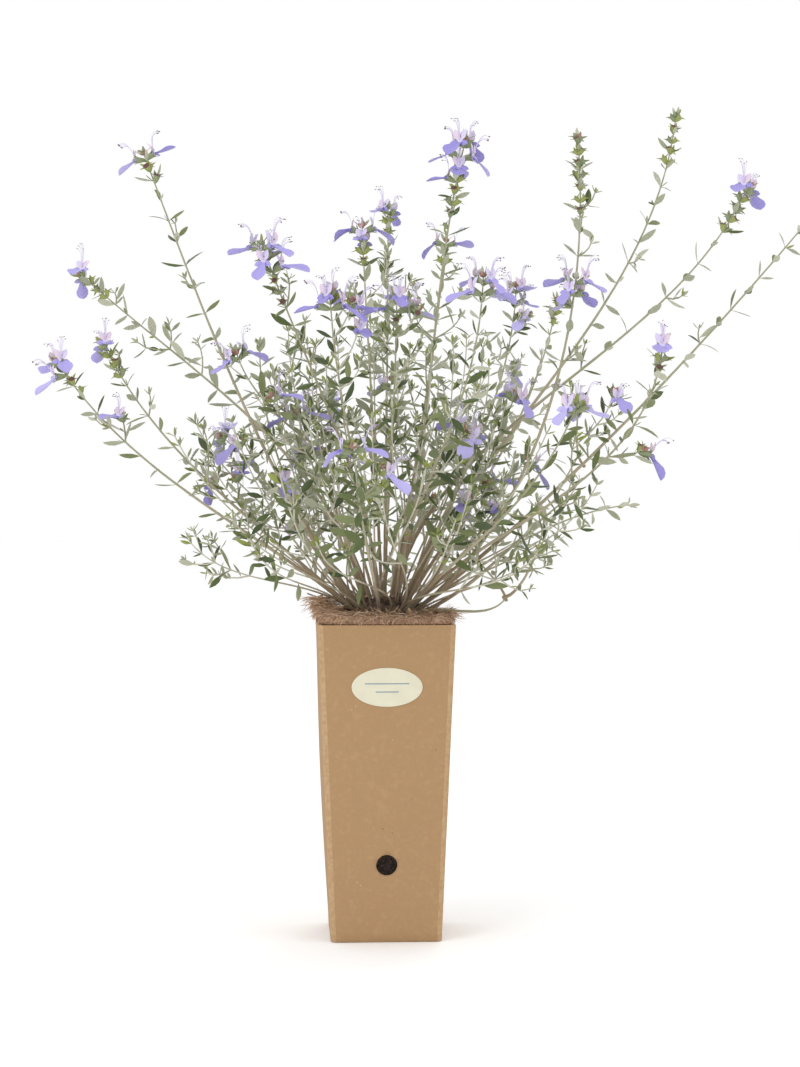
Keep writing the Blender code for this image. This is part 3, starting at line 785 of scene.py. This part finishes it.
stems = {}
for name, azimuth, reach, rise, launch, finish, bare, blooms, stars in SHOOTS:
    way = heading(azimuth, launch)
    tip = heading(azimuth, 0) * reach + Vector((0.0, 0.0, GROUND + rise))
    stem = Stem(stool_point(way), way, tip, heading(azimuth, finish), SHOOT_GRIP,
                heading(azimuth + 90, 0), STOUT_FEET.get(name))
    stems[name] = (stem, bare, blooms, stars)
for name, limb, seat, azimuth, reach, rise, finish, bare, blooms in FORKS:
    parent, share = stems[limb][:2]
    spans = max(2, round(parent.length * share / LIMB_CHORD))
    end = parent.at(share)
    along = (end - parent.at(share * (spans - 1) / spans)).normalized()
    tip = heading(azimuth, 0) * reach + Vector((0.0, 0.0, GROUND + rise))
    way = along
    if seat == "side":
        way = (tip - end - along * along.dot(tip - end)).normalized()
        end = end + way * parent.radius(share) - along * FORK_DROP
    stem = Stem(end, way, tip, heading(azimuth, finish), FORK_GRIP,
                heading(azimuth + 90, 0), STOUT_FEET.get(name))
    stems[name] = (stem, bare, blooms, 0)

felts = new_finishes("felted bark", FELT, roughness=0.9, grain=2200.0, depth=0.25, sheen=0.15)
limbs = Gathered()
for stem, bare, blooms, stars in stems.values():
    if bare:
        add_bark(limbs, stem, 0.0, bare, LIMB_SIDES, rooted=True)
bark_limbs = limbs.make("bark_limbs", felts)
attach(bark_limbs, "root")
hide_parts(*[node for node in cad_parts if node.startswith("bough_")])

# Leaves: small felted leaves in opposite pairs, each pair turned a quarter from the last.
# They are dull olive above and silvery below, with edges that roll under, and young tips
# are yellow-green. Each leaf is a closed thin blade, and the leafy stems put them out.
LEAF_ROWS = (  # share of the length, share of the width
    (0.06, 0.14), (0.22, 0.58), (0.44, 1.0), (0.68, 0.9), (0.87, 0.5),
)
LEAF_SLENDER = 0.30
LEAF_WIDTHS = (0.85, 1.15)
LEAF_THICKNESS = 0.28
LEAF_BENDS = (-0.25, 0.95)
LEAF_CUPS = (0.05, 0.5)
LEAF_SPREAD_JITTER = 9
LEAF_WANDER = 0.1
LEAF_TWIST = 0.45
LEAF_UPPER = (
    (92, 104, 56), (112, 121, 76), (76, 90, 42), (134, 139, 102), (60, 74, 34), (134, 143, 66),
)
LEAF_UNDER = ((188, 190, 168), (166, 170, 144))
FRESH = 5  # the yellow-green among the upper finishes
GROWN = (0, 0, 1, 1, 2, 3, 4)  # the others, as often as each comes


def blade(root, along, up, length, width, rows, bend, cup, thickness, ribs=1):
    """A closed thin leaf or petal, pointed at both ends, bent along and cupped across."""
    across = along.cross(up).normalized()
    lift = across.cross(along)
    shares = [-1 + 2 * rib / (ribs + 1) for rib in range(ribs + 2)]
    rings = []
    place = root
    before = 0.0
    for share, spread in (*rows, (1.0, 0.0)):
        onwards = swing(along, lift, -bend * (share + before) / 2)
        place = place + onwards * length * (share - before)
        normal = swing(lift, along, bend * share)
        half = width / 2 * spread
        ring = []
        for side, strip in ((1, shares), (-1, shares[-2:0:-1])):
            for aside in strip:
                height = side * thickness / 2 * (1 - abs(aside)) + cup * half * aside * aside
                ring.append(place + across * half * aside + normal * height)
        rings.append(ring)
        before = share
    return loft(rings[:-1], root, place)


def two_sided(upper, under):
    """A rule that gives a blade one finish above and another below."""
    return lambda band, around: upper if around < 0.5 else under


def add_leaf(gathered, root, along, out, spread, length, draw, fresh_odds):
    """A leaf that leaves its stem at an angle in degrees, a little twisted and arched."""
    fresh = fresh_odds > 0 and draw.random() < fresh_odds
    way = swing(along, out, math.radians(spread + draw.gauss(0, LEAF_SPREAD_JITTER)))
    way = (way + Vector([draw.gauss(0, LEAF_WANDER) for _ in range(3)])).normalized()
    up = Matrix.Rotation(draw.gauss(0, LEAF_TWIST), 3, way) @ along
    width = length * LEAF_SLENDER * draw.uniform(*LEAF_WIDTHS)
    bend = draw.uniform(*LEAF_BENDS)
    cup = -draw.uniform(*LEAF_CUPS)
    solid = blade(root, way, up, length, width, LEAF_ROWS, bend, cup, LEAF_THICKNESS)
    upper = FRESH if fresh else draw.choice(GROWN)
    under = len(LEAF_UPPER) + draw.randrange(len(LEAF_UNDER))
    gathered.add(solid, two_sided(upper, under))


leaf_finishes = [
    *new_finishes("leaf upper", LEAF_UPPER, roughness=0.72, grain=1900.0, depth=0.07, sheen=0.15),
    *new_finishes("leaf under", LEAF_UNDER, roughness=0.9, grain=2600.0, depth=0.08, sheen=0.25),
]

# Blossom: lavender-blue flowers at the stems' ends. Each has a felted bell with five
# teeth, one broad hanging lip, two side lobes, two pale upright lobes, and long arched
# stamens with dark ends. Older bells gape like stars, and buds sit above them.
BLOSSOM_SIZES = (0.85, 1.12)
PETAL_THICKNESS = 0.3
THROAT = ((-1.5, 1.3), (1.2, 1.6))  # distance past the bell's mouth, radius
THROAT_SIDES = 6
LIP_ROWS = ((0.07, 0.3), (0.22, 0.42), (0.42, 0.66), (0.64, 1.0), (0.82, 0.95), (0.94, 0.6))
LIP_LENGTH = 15.0
LIP_WIDTH = 8.8
LIP_AHEAD = 0.72
LIP_HANG = (0.4, 0.85)
LIP_LEAN = 0.3
LIP_BENDS = (-0.6, 0.7)
LIP_CUPS = (0.2, 0.55)
LOBE_ROWS = ((0.15, 0.5), (0.45, 1.0), (0.75, 0.8))
# ahead, aside, up, length, width, bend, cup
SIDE_LOBE = (0.45, 0.85, -0.3, 6.0, 3.4, 0.3, 0.1)
UPPER_LOBE = (0.35, 0.42, 0.84, 8.0, 3.8, 0.4, 0.2)
STAMENS = 5
STAMEN_LENGTH = 17.0
STAMEN_LENGTHS = (0.85, 1.1)
STAMEN_GAP = 0.9
STAMEN_SCATTER = 0.4
STAMEN_STEPS = 6
STAMEN_AHEAD = 0.62
STAMEN_RISE = 0.6
STAMEN_ARCH = 2.0
STAMEN_RADII = (0.15, 0.1)  # of the thread, and of its end
ANTHER = ((-0.2, 0.0), (0.05, 0.3), (0.6, 0.27), (0.9, 0.0))  # distance on, radius
ANTHER_SIDES = 5
BELL = ((0.0, 0.5), (1.2, 1.3), (3.0, 1.75), (5.2, 2.15))  # distance out, radius
BELL_SIDES = 7
TEETH = 5
TOOTH_ROWS = ((0.1, 1.0), (0.5, 0.7))
TOOTH_LENGTH = 3.6
TOOTH_WIDTH = 1.9
TOOTH_SEAT = (0.8, 0.5)  # share of the mouth's radius, distance back from it
TOOTH_CURL = 0.2
CLOSED_GAPE = 24
STAR_GAPE = 62
STAR_SIZES = (0.7, 0.95)
BUD = ((0.0, 0.0), (0.25, 1.1), (0.65, 1.2), (1.0, 0.0))  # share of the length, radius
BUD_LENGTHS = (3.2, 5.0)
BUDS = 3
RACEME_DROP = 3.5
RACEME_PITCH = 6.5
PETALS = ((166, 157, 219), (150, 141, 210), (184, 177, 228), (210, 200, 228), (216, 198, 216))
LIP_SHADES = (0, 0, 1, 2)  # which petal finishes the lips take, as often as each
PALE_SHADES = (3, 4)
# the third bell colour, dark brown, is painted shade: the flat disc that closes an open bell's
# mouth takes it for the hollow inside
BELLS = ((136, 146, 110), (150, 158, 92), (98, 66, 60), (160, 118, 108))
BELL_GREEN = 0
BELL_PAINTED_SHADE = 2
STAR_SHADES = (0, 1, 1)
BUD_SHADES = (0, 3, 3)
THREADS = ((206, 196, 224), (98, 76, 86))  # the thread's colour, and its dark end's
UP = Vector((0.0, 0.0, 1.0))

petals = Gathered()
bells = Gathered()
stamens = Gathered()


def add_bell(root, out, size, gape, outside, inside):
    """A felted bell with five teeth that lean out by an angle in degrees."""
    middles = [root + out * reach * size for reach, _ in BELL]
    radii = [radius * size for _, radius in BELL]
    mouth_band = len(BELL) - 1
    # the flat disc at the bell's mouth takes the inside finish, which on open bells is painted
    # shade for the hollow
    bells.add(tube(middles, radii, BELL_SIDES),
              lambda band, around: inside if band == mouth_band else outside)
    normal = out.orthogonal().normalized()
    across = out.cross(normal)
    seat, back = TOOTH_SEAT
    for tooth in range(TEETH):
        radial = swing(normal, across, math.radians(360 / TEETH * tooth))
        way = swing(out, radial, math.radians(gape))
        rim = middles[-1] + radial * radii[-1] * seat - out * back
        up = -radial if gape < STAR_GAPE else out
        bells.add(blade(rim, way, up, TOOTH_LENGTH * size, TOOTH_WIDTH * size, TOOTH_ROWS,
                        TOOTH_CURL, TOOTH_CURL, PETAL_THICKNESS), outside)
    return middles[-1]


def add_lobe(mouth, out, side, up, size, lobe, finish):
    """One of the small lobes beside or above the lip."""
    ahead, aside, rise, length, width, bend, cup = lobe
    way = (out * ahead + side * aside + up * rise).normalized()
    petals.add(blade(mouth, way, out, length * size, width * size, LOBE_ROWS, bend, cup,
                     PETAL_THICKNESS), finish)


def add_stamen(mouth, out, side, up, size, thread, draw):
    """A long thread that arches forwards, with a dark end."""
    fan = (thread - STAMENS // 2) * STAMEN_GAP + draw.uniform(-STAMEN_SCATTER, STAMEN_SCATTER)
    reach = STAMEN_LENGTH * size * draw.uniform(*STAMEN_LENGTHS)
    path = []
    for step in range(STAMEN_STEPS + 1):
        share = step / STAMEN_STEPS
        path.append(mouth + out * reach * STAMEN_AHEAD * share + side * fan * share
                    + up * reach * STAMEN_RISE * math.sin(STAMEN_ARCH * share))
    radius, end_radius = STAMEN_RADII
    stamens.add(tube(path, [radius] * STAMEN_STEPS + [end_radius], 4), 0)
    way = (path[-1] - path[-2]).normalized()
    ends = [path[-1] + way * distance for distance, _ in ANTHER]
    stamens.add(tube(ends, [radius for _, radius in ANTHER], ANTHER_SIDES, pointed=True), 1)


def add_blossom(root, out, up, draw):
    """An open flower."""
    size = draw.uniform(*BLOSSOM_SIZES)
    side = out.cross(up).normalized()
    mouth = add_bell(root, out, size, CLOSED_GAPE, BELL_GREEN, BELL_GREEN)
    throat = [mouth + out * reach for reach, _ in THROAT]
    throat_radii = [radius * size for _, radius in THROAT]
    petals.add(tube(throat, throat_radii, THROAT_SIDES), PALE_SHADES[0])
    mouth = mouth + out * 0.6
    lean = draw.uniform(-LIP_LEAN, LIP_LEAN)
    lip = (out * LIP_AHEAD - up * draw.uniform(*LIP_HANG) + side * lean).normalized()
    lip_finish = draw.choice(LIP_SHADES)
    bend = draw.uniform(*LIP_BENDS)
    cup = draw.uniform(*LIP_CUPS)
    petals.add(blade(mouth, lip, out, LIP_LENGTH * size, LIP_WIDTH * size, LIP_ROWS, bend, cup,
                     PETAL_THICKNESS, 3), lip_finish)
    for hand in (-side, side):
        add_lobe(mouth, out, hand, up, size, SIDE_LOBE, lip_finish)
        add_lobe(mouth, out, hand, up, size, UPPER_LOBE, draw.choice(PALE_SHADES))
    for thread in range(STAMENS):
        add_stamen(mouth, out, side, up, size, thread, draw)


def add_bud(root, out, draw):
    """A closed bud in its bell, or a withered bell."""
    length = draw.uniform(*BUD_LENGTHS)
    points = [root + out * length * share for share, _ in BUD]
    radii = [radius for _, radius in BUD]
    bells.add(tube(points, radii, 6, pointed=True), draw.choice(BUD_SHADES))


def flower_way(stem, share, turn):
    """Outwards and a little up from a stem, never far down, with its own upright."""
    out = stem.out(share, turn) + stem.along(share) * 0.35
    out.z = max(out.z, -0.15)
    out.normalize()
    up = UP - out * out.z
    if up.length < 0.2:
        up = stem.level
    return out, up.normalized()


def add_raceme(stem, top, count, stars, draw):
    """Blossoms in pairs down from the top, with buds above and open bells below."""
    turn = draw.uniform(0, 180)
    for index in range(count + stars):
        share = top - (RACEME_DROP + RACEME_PITCH * (index // 2)) / stem.length
        if index % 2 == 0:
            turn += 90 + draw.uniform(-15, 15)
        out, up = flower_way(stem, share, turn + 180 * (index % 2))
        root = stem.at(share) + out * stem.radius(share) * 0.8
        if index < count:
            add_blossom(root, out, up, draw)
        else:
            out = (out + stem.along(share) * 0.9).normalized()
            size = draw.uniform(*STAR_SIZES)
            # the open bell's mouth disc takes the dark painted shade of its hollow inside
            add_bell(root, out, size, STAR_GAPE, draw.choice(STAR_SHADES), BELL_PAINTED_SHADE)
    for index in range(BUDS):
        out = (stem.out(top, 360 / BUDS * index) * 0.6 + stem.along(top)).normalized()
        add_bud(stem.at(top) - stem.along(top), out, draw)


petal_finishes = new_finishes(
    "petal", PETALS, roughness=0.6, grain=1500.0, depth=0.04, sheen=0.1
)
bell_finishes = new_finishes("bell", BELLS, roughness=0.85, grain=2200.0, depth=0.1, sheen=0.1)
stamen_finishes = new_finishes("stamen", THREADS, roughness=0.6, grain=3000.0, depth=0.05)

# Leafy stems: the upper lengths of the stems and all that grows from them. Side shoots
# leave in opposite pairs, with finer twigs on those, and sixty thin stems from the stool
# fill the crown. Their leaves and blossom are gathered as they grow, and made last.
TWIG_SIDES = 6
LEAFLESS_FOOT = 0.36
LEAFLESS_THIN = 0.44
LEAFLESS_SHOOT = 0.12
# Habits: leaf pitch, leaf length, share of nodes that branch, branch length; then orders
OPEN = ((14.5, 14.5, 0.12, 18.0), 1)
OUTER = ((12.5, 16.0, 0.22, 27.0), 1)
INNER = ((12.0, 16.0, 0.38, 34.0), 2)
FINE = ((11.0, 14.0, 0.28, 22.0), 1)
FINER = (0.6, 0.78, 0.5, 0.45)  # a side shoot's habit, as shares of its stem's
OPEN_STEMS = ("left_tall", "right_spike", "right_tall", "right_wide", "right_far")
BLOOM_TOP = {"right_spike": 0.74}
COLLAR_HALF = 0.8
COLLAR_RADII = (0.9, 1.3, 0.9)
LEAF_SEAT = 0.7
# Each pair is a value at the foot of the leaves, and its change up to the stem's tip
BRANCH_ODDS = (1.15, -0.6)
BRANCH_LENGTH = (1.1, -0.6)
LEAF_ODDS = (0.5, 0.7)
LEAF_SIZE = (1.0, -0.4)
LEAF_SPREAD = (62, -20)
PITCH_SHARE = (1.2, -0.55)
BRANCH_UNTIL = 0.85
BRANCH_LENGTHS = (0.6, 1.25)
LEAF_SIZES = (0.7, 1.15)
FRESH_FROM = 0.9
FRESH_ODDS = 0.6
AXIL_TUFTS = 0.6
TUFT_SPREAD_ANGLE = 24
TUFT_SIZES = (0.28, 0.45)
TUFT_FRESH_ODDS = 0.4
TIP_LEAVES = 4
TIP_SPREAD = 30
TIP_SIZES = (0.35, 0.5)
TIP_FRESH_ODDS = 0.75
BRANCH_FOOT = 0.5
BRANCH_GRIP = 0.4
BRANCH_STEP = 7
BRANCH_BLOOM_ODDS = 0.16
THIN_FOOT = 0.62
THIN_STEMS = 60
THIN_TURN_JITTER = 38
THIN_SLOPE_JITTER = 8
THIN_TIP_JITTER = 8
THIN_RISE = 22
# Reach and rise of the thin stems' tips, with how far each may vary, and launch slope
THIN_PLANS = ((95, 22, 58, 18, 32), (72, 20, 104, 22, 52), (52, 18, 150, 30, 68),
              (112, 18, 96, 20, 42))

twigs = Gathered()
leaves_outer = Gathered()
leaves_inner = Gathered()
leaves_fine = Gathered()


def by_age(pair, ageing):
    """A value that changes evenly up a stem's leafy length."""
    foot, change = pair
    return foot + change * ageing


def twig_felt(leaves):
    """The felt of the twigs that bear these leaves: the inner ones are whitest."""
    return YOUNG if leaves is leaves_outer else WHITEST


def dress(stem, low, habit, orders, leaves, draw, blooms=False):
    """Leaves in opposite pairs up a stem, with side shoots dressed by the same rule."""
    pitch, leaf_length, branching, branch_length = habit
    distance = low * stem.length + draw.uniform(1.5, 4.0)
    turn = draw.uniform(0, 180)
    while distance < stem.length - 1.5:
        share = distance / stem.length
        ageing = (share - low) / (1 - low)
        point = stem.at(share)
        along = stem.along(share)
        radius = stem.radius(share)
        collar = [point - along * COLLAR_HALF, point, point + along * COLLAR_HALF]
        collar_radii = [radius * swell for swell in COLLAR_RADII]
        twigs.add(tube(collar, collar_radii, TWIG_SIDES), twig_felt(leaves))
        for half in (0, 180):
            out = stem.out(share, turn + half)
            root = point + out * radius * LEAF_SEAT
            may_branch = orders and ageing < BRANCH_UNTIL
            if may_branch and draw.random() < branching * by_age(BRANCH_ODDS, ageing):
                length = branch_length * draw.uniform(*BRANCH_LENGTHS)
                length *= by_age(BRANCH_LENGTH, ageing)
                branch(root, along, out, length, habit, orders - 1, leaves, draw, blooms)
            if draw.random() < by_age(LEAF_ODDS, ageing):
                length = leaf_length * (draw.uniform(*LEAF_SIZES) * by_age(LEAF_SIZE, ageing ** 2))
                add_leaf(leaves, root, along, out, by_age(LEAF_SPREAD, ageing), length, draw,
                         FRESH_ODDS if ageing > FRESH_FROM else 0)
            if draw.random() < AXIL_TUFTS * ageing:
                length = leaf_length * draw.uniform(*TUFT_SIZES)
                add_leaf(leaves, root, along, out, TUFT_SPREAD_ANGLE, length, draw, TUFT_FRESH_ODDS)
        distance += pitch * by_age(PITCH_SHARE, ageing)
        turn += 90 + draw.uniform(-12, 12)
    along = stem.along(1.0)
    top = stem.at(1.0) - along * COLLAR_HALF
    for index in range(TIP_LEAVES):
        out = stem.out(1.0, turn + 90 * index)
        length = leaf_length * draw.uniform(*TIP_SIZES)
        add_leaf(leaves, top, along, out, TIP_SPREAD, length, draw, TIP_FRESH_ODDS)


def branch(root, along, out, length, habit, orders, leaves, draw, blooms):
    """A side shoot that leaves its stem at a slant and turns up towards the light."""
    way = (along * 0.75 + out).normalized()
    aim = (along + UP * 0.5 + out * 0.3).normalized()
    tip = root + (way * 0.65 + aim * 0.35) * length
    shoot = Stem(root, way, tip, aim, BRANCH_GRIP, foot=BRANCH_FOOT)
    count = max(3, round(length / BRANCH_STEP))
    shares = [step / count for step in range(count + 1)]
    centres = [shoot.at(share) for share in shares]
    radii = [shoot.radius(share) for share in shares]
    twigs.add(tube(centres, radii, TWIG_SIDES), twig_felt(leaves))
    finer = [value * share for value, share in zip(habit, FINER)]
    dress(shoot, LEAFLESS_SHOOT, finer, orders, leaves, draw)
    if blooms and draw.random() < BRANCH_BLOOM_ODDS:
        add_raceme(shoot, 1.0, 1, 1, draw)


for name, (stem, bare, blooms, stars) in stems.items():
    if bare == 1.0:
        continue
    draw = random.Random(f"{name} {SEED}")
    plan = OPEN if name in OPEN_STEMS else OUTER if bare else INNER
    leaves = leaves_outer if bare else leaves_inner
    add_bark(twigs, stem, bare, 1.0, TWIG_SIDES + 1, rooted=not bare)
    dress(stem, bare or LEAFLESS_FOOT, *plan, leaves, draw, blooms > 0)
    if blooms or stars:
        open_flowers = 2 * blooms - (1 if bare and blooms > 1 else 0)
        stars_below = 0 if name in BLOOM_TOP else stars
        add_raceme(stem, BLOOM_TOP.get(name, 1.0), open_flowers, stars_below, draw)
    if name in BLOOM_TOP:
        add_raceme(stem, 1.0, 0, stars, draw)

draw = random.Random(f"thin stems {SEED}")
for index in range(THIN_STEMS):
    reach, reach_range, rise, rise_range, launch = THIN_PLANS[index % len(THIN_PLANS)]
    azimuth = EVEN_TURN * index
    launch_azimuth = azimuth + draw.uniform(-THIN_TURN_JITTER, THIN_TURN_JITTER)
    way = heading(launch_azimuth, launch + draw.uniform(-THIN_SLOPE_JITTER, THIN_SLOPE_JITTER))
    tip = heading(azimuth + draw.uniform(-THIN_TIP_JITTER, THIN_TIP_JITTER), 0)
    tip = tip * (reach + draw.uniform(-1, 1) * reach_range)
    tip += Vector((0.0, 0.0, GROUND + rise + draw.uniform(-1, 1) * rise_range))
    stem = Stem(stool_point(way), way, tip, heading(azimuth, launch + THIN_RISE), SHOOT_GRIP,
                heading(azimuth + 90, 0), THIN_FOOT)
    add_bark(twigs, stem, 0.0, 1.0, TWIG_SIDES, rooted=True, young=WHITEST)
    dress(stem, LEAFLESS_THIN, *FINE, leaves_fine, draw, index % 3 == 0)

leafy_twigs = twigs.make("leafy_twigs", felts)
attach(leafy_twigs, "root")
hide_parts(*[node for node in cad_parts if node.startswith("spray_")])
for name, gathered, finishes in (
    ("leaves_outer", leaves_outer, leaf_finishes),
    ("leaves_inner", leaves_inner, leaf_finishes),
    ("leaves_fine", leaves_fine, leaf_finishes),
    ("petals", petals, petal_finishes),
    ("bells", bells, bell_finishes),
    ("stamens", stamens, stamen_finishes),
):
    piece = gathered.make(name, finishes)
    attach(piece, "root")

# Litter: withered leaves that have dropped on the mat and lodged against the stool, curled
# and brown. They are made as the live leaves are.
WITHERED = ((134, 106, 80), (108, 82, 60), (158, 134, 106))
LITTER_COUNT = 70
LITTER_PLACES = (-0.15, 0.9)
LITTER_LIFTS = (0.2, 0.9)
LITTER_SLOPES = (-6, 14)
LITTER_LENGTHS = (6, 11)
LITTER_BEND = 0.9
LITTER_CUP = 0.8
MAT_TOP = 1.08

litter = Gathered()
for _ in range(LITTER_COUNT):
    angle = draw.uniform(0, 2 * math.pi)
    spot = mat_point(angle, draw.uniform(*LITTER_PLACES), MAT_TOP)
    spot = spot + UP * draw.uniform(*LITTER_LIFTS)
    way = heading(draw.uniform(0, 360), draw.uniform(*LITTER_SLOPES))
    length = draw.uniform(*LITTER_LENGTHS)
    bend = draw.uniform(-LITTER_BEND, LITTER_BEND)
    cup = draw.uniform(-LITTER_CUP, LITTER_CUP)
    dead_leaf = blade(spot, way, UP, length, length * LEAF_SLENDER, LEAF_ROWS, bend, cup,
                      LEAF_THICKNESS)
    litter.add(dead_leaf, draw.randrange(3))
withered_leaves = litter.make(
    "withered_leaves", new_finishes("withered", WITHERED, roughness=0.88, grain=1800.0, depth=0.25)
)
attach(withered_leaves, "root")

# Studio: a plain pale floor under an even white sky, with a broad soft lamp from the left
# front and weaker ones from the right and behind. The camera stands a little left of the
# box's front.
FLOOR_REACH = 9.0
FLOOR_DROP = 0.0002
FLOOR_WHITE = (255, 255, 255)
SKY_STRENGTH = 1.0
CAMERA_AWAY = 1.350
CAMERA_HEIGHT = 0.260
CAMERA_AZIMUTH = 3.0
CAMERA_PITCH = 1.25
CAMERA_STEP_RIGHT = 0.00923
CAMERA_LENS = 105.3
SENSOR_WIDTH = 36.0
CROWN_MIDDLE = Vector((0.0, 0.0, 0.25))
LAMPS = (  # name, place, size, watts
    ("key lamp", (-1.2, -1.3, 1.25), 1.1, 9.0),
    ("fill lamp", (1.4, -0.9, 0.9), 1.2, 2.5),
    ("back lamp", (0.5, 1.5, 1.4), 1.0, 4.0),
)

floor_mesh = bpy.data.meshes.new("floor")
corners = [(x * FLOOR_REACH, y * FLOOR_REACH, -FLOOR_DROP)
           for x, y in ((-1, -1), (1, -1), (1, 1), (-1, 1))]
floor_mesh.from_pydata(corners, [], [(0, 1, 2, 3)])
floor_mesh.materials.append(
    new_finish("pale floor", FLOOR_WHITE, roughness=0.9, grain=40.0, depth=0.02)
)
floor = add_object("floor", floor_mesh)

sky = bpy.data.worlds.new("studio sky")
sky.use_nodes = True
sky.node_tree.nodes["Background"].inputs["Color"].default_value = (1.0, 1.0, 1.0, 1.0)
sky.node_tree.nodes["Background"].inputs["Strength"].default_value = SKY_STRENGTH
bpy.context.scene.world = sky
bpy.context.scene.view_settings.view_transform = "Standard"

for name, place, size, watts in LAMPS:
    lamp = bpy.data.lights.new(name, "AREA")
    lamp.shape = "DISK"
    lamp.size = size
    lamp.energy = watts
    holder = add_object(name, lamp)
    holder.location = place
    holder.rotation_euler = (CROWN_MIDDLE - Vector(place)).to_track_quat("-Z", "Y").to_euler()

view_azimuth = math.radians(CAMERA_AZIMUTH)
ahead = Vector((math.sin(view_azimuth), math.cos(view_azimuth), 0.0))
right = Vector((math.cos(view_azimuth), -math.sin(view_azimuth), 0.0))
gaze = swing(ahead, UP, -math.radians(CAMERA_PITCH))
lens = bpy.data.cameras.new("camera")
lens.lens = CAMERA_LENS
lens.sensor_width = SENSOR_WIDTH
lens.sensor_fit = "HORIZONTAL"
camera = add_object("camera", lens)
camera.location = UP * CAMERA_HEIGHT - ahead * CAMERA_AWAY + right * CAMERA_STEP_RIGHT
camera.rotation_euler = gaze.to_track_quat("-Z", "Y").to_euler()
bpy.context.scene.camera = camera
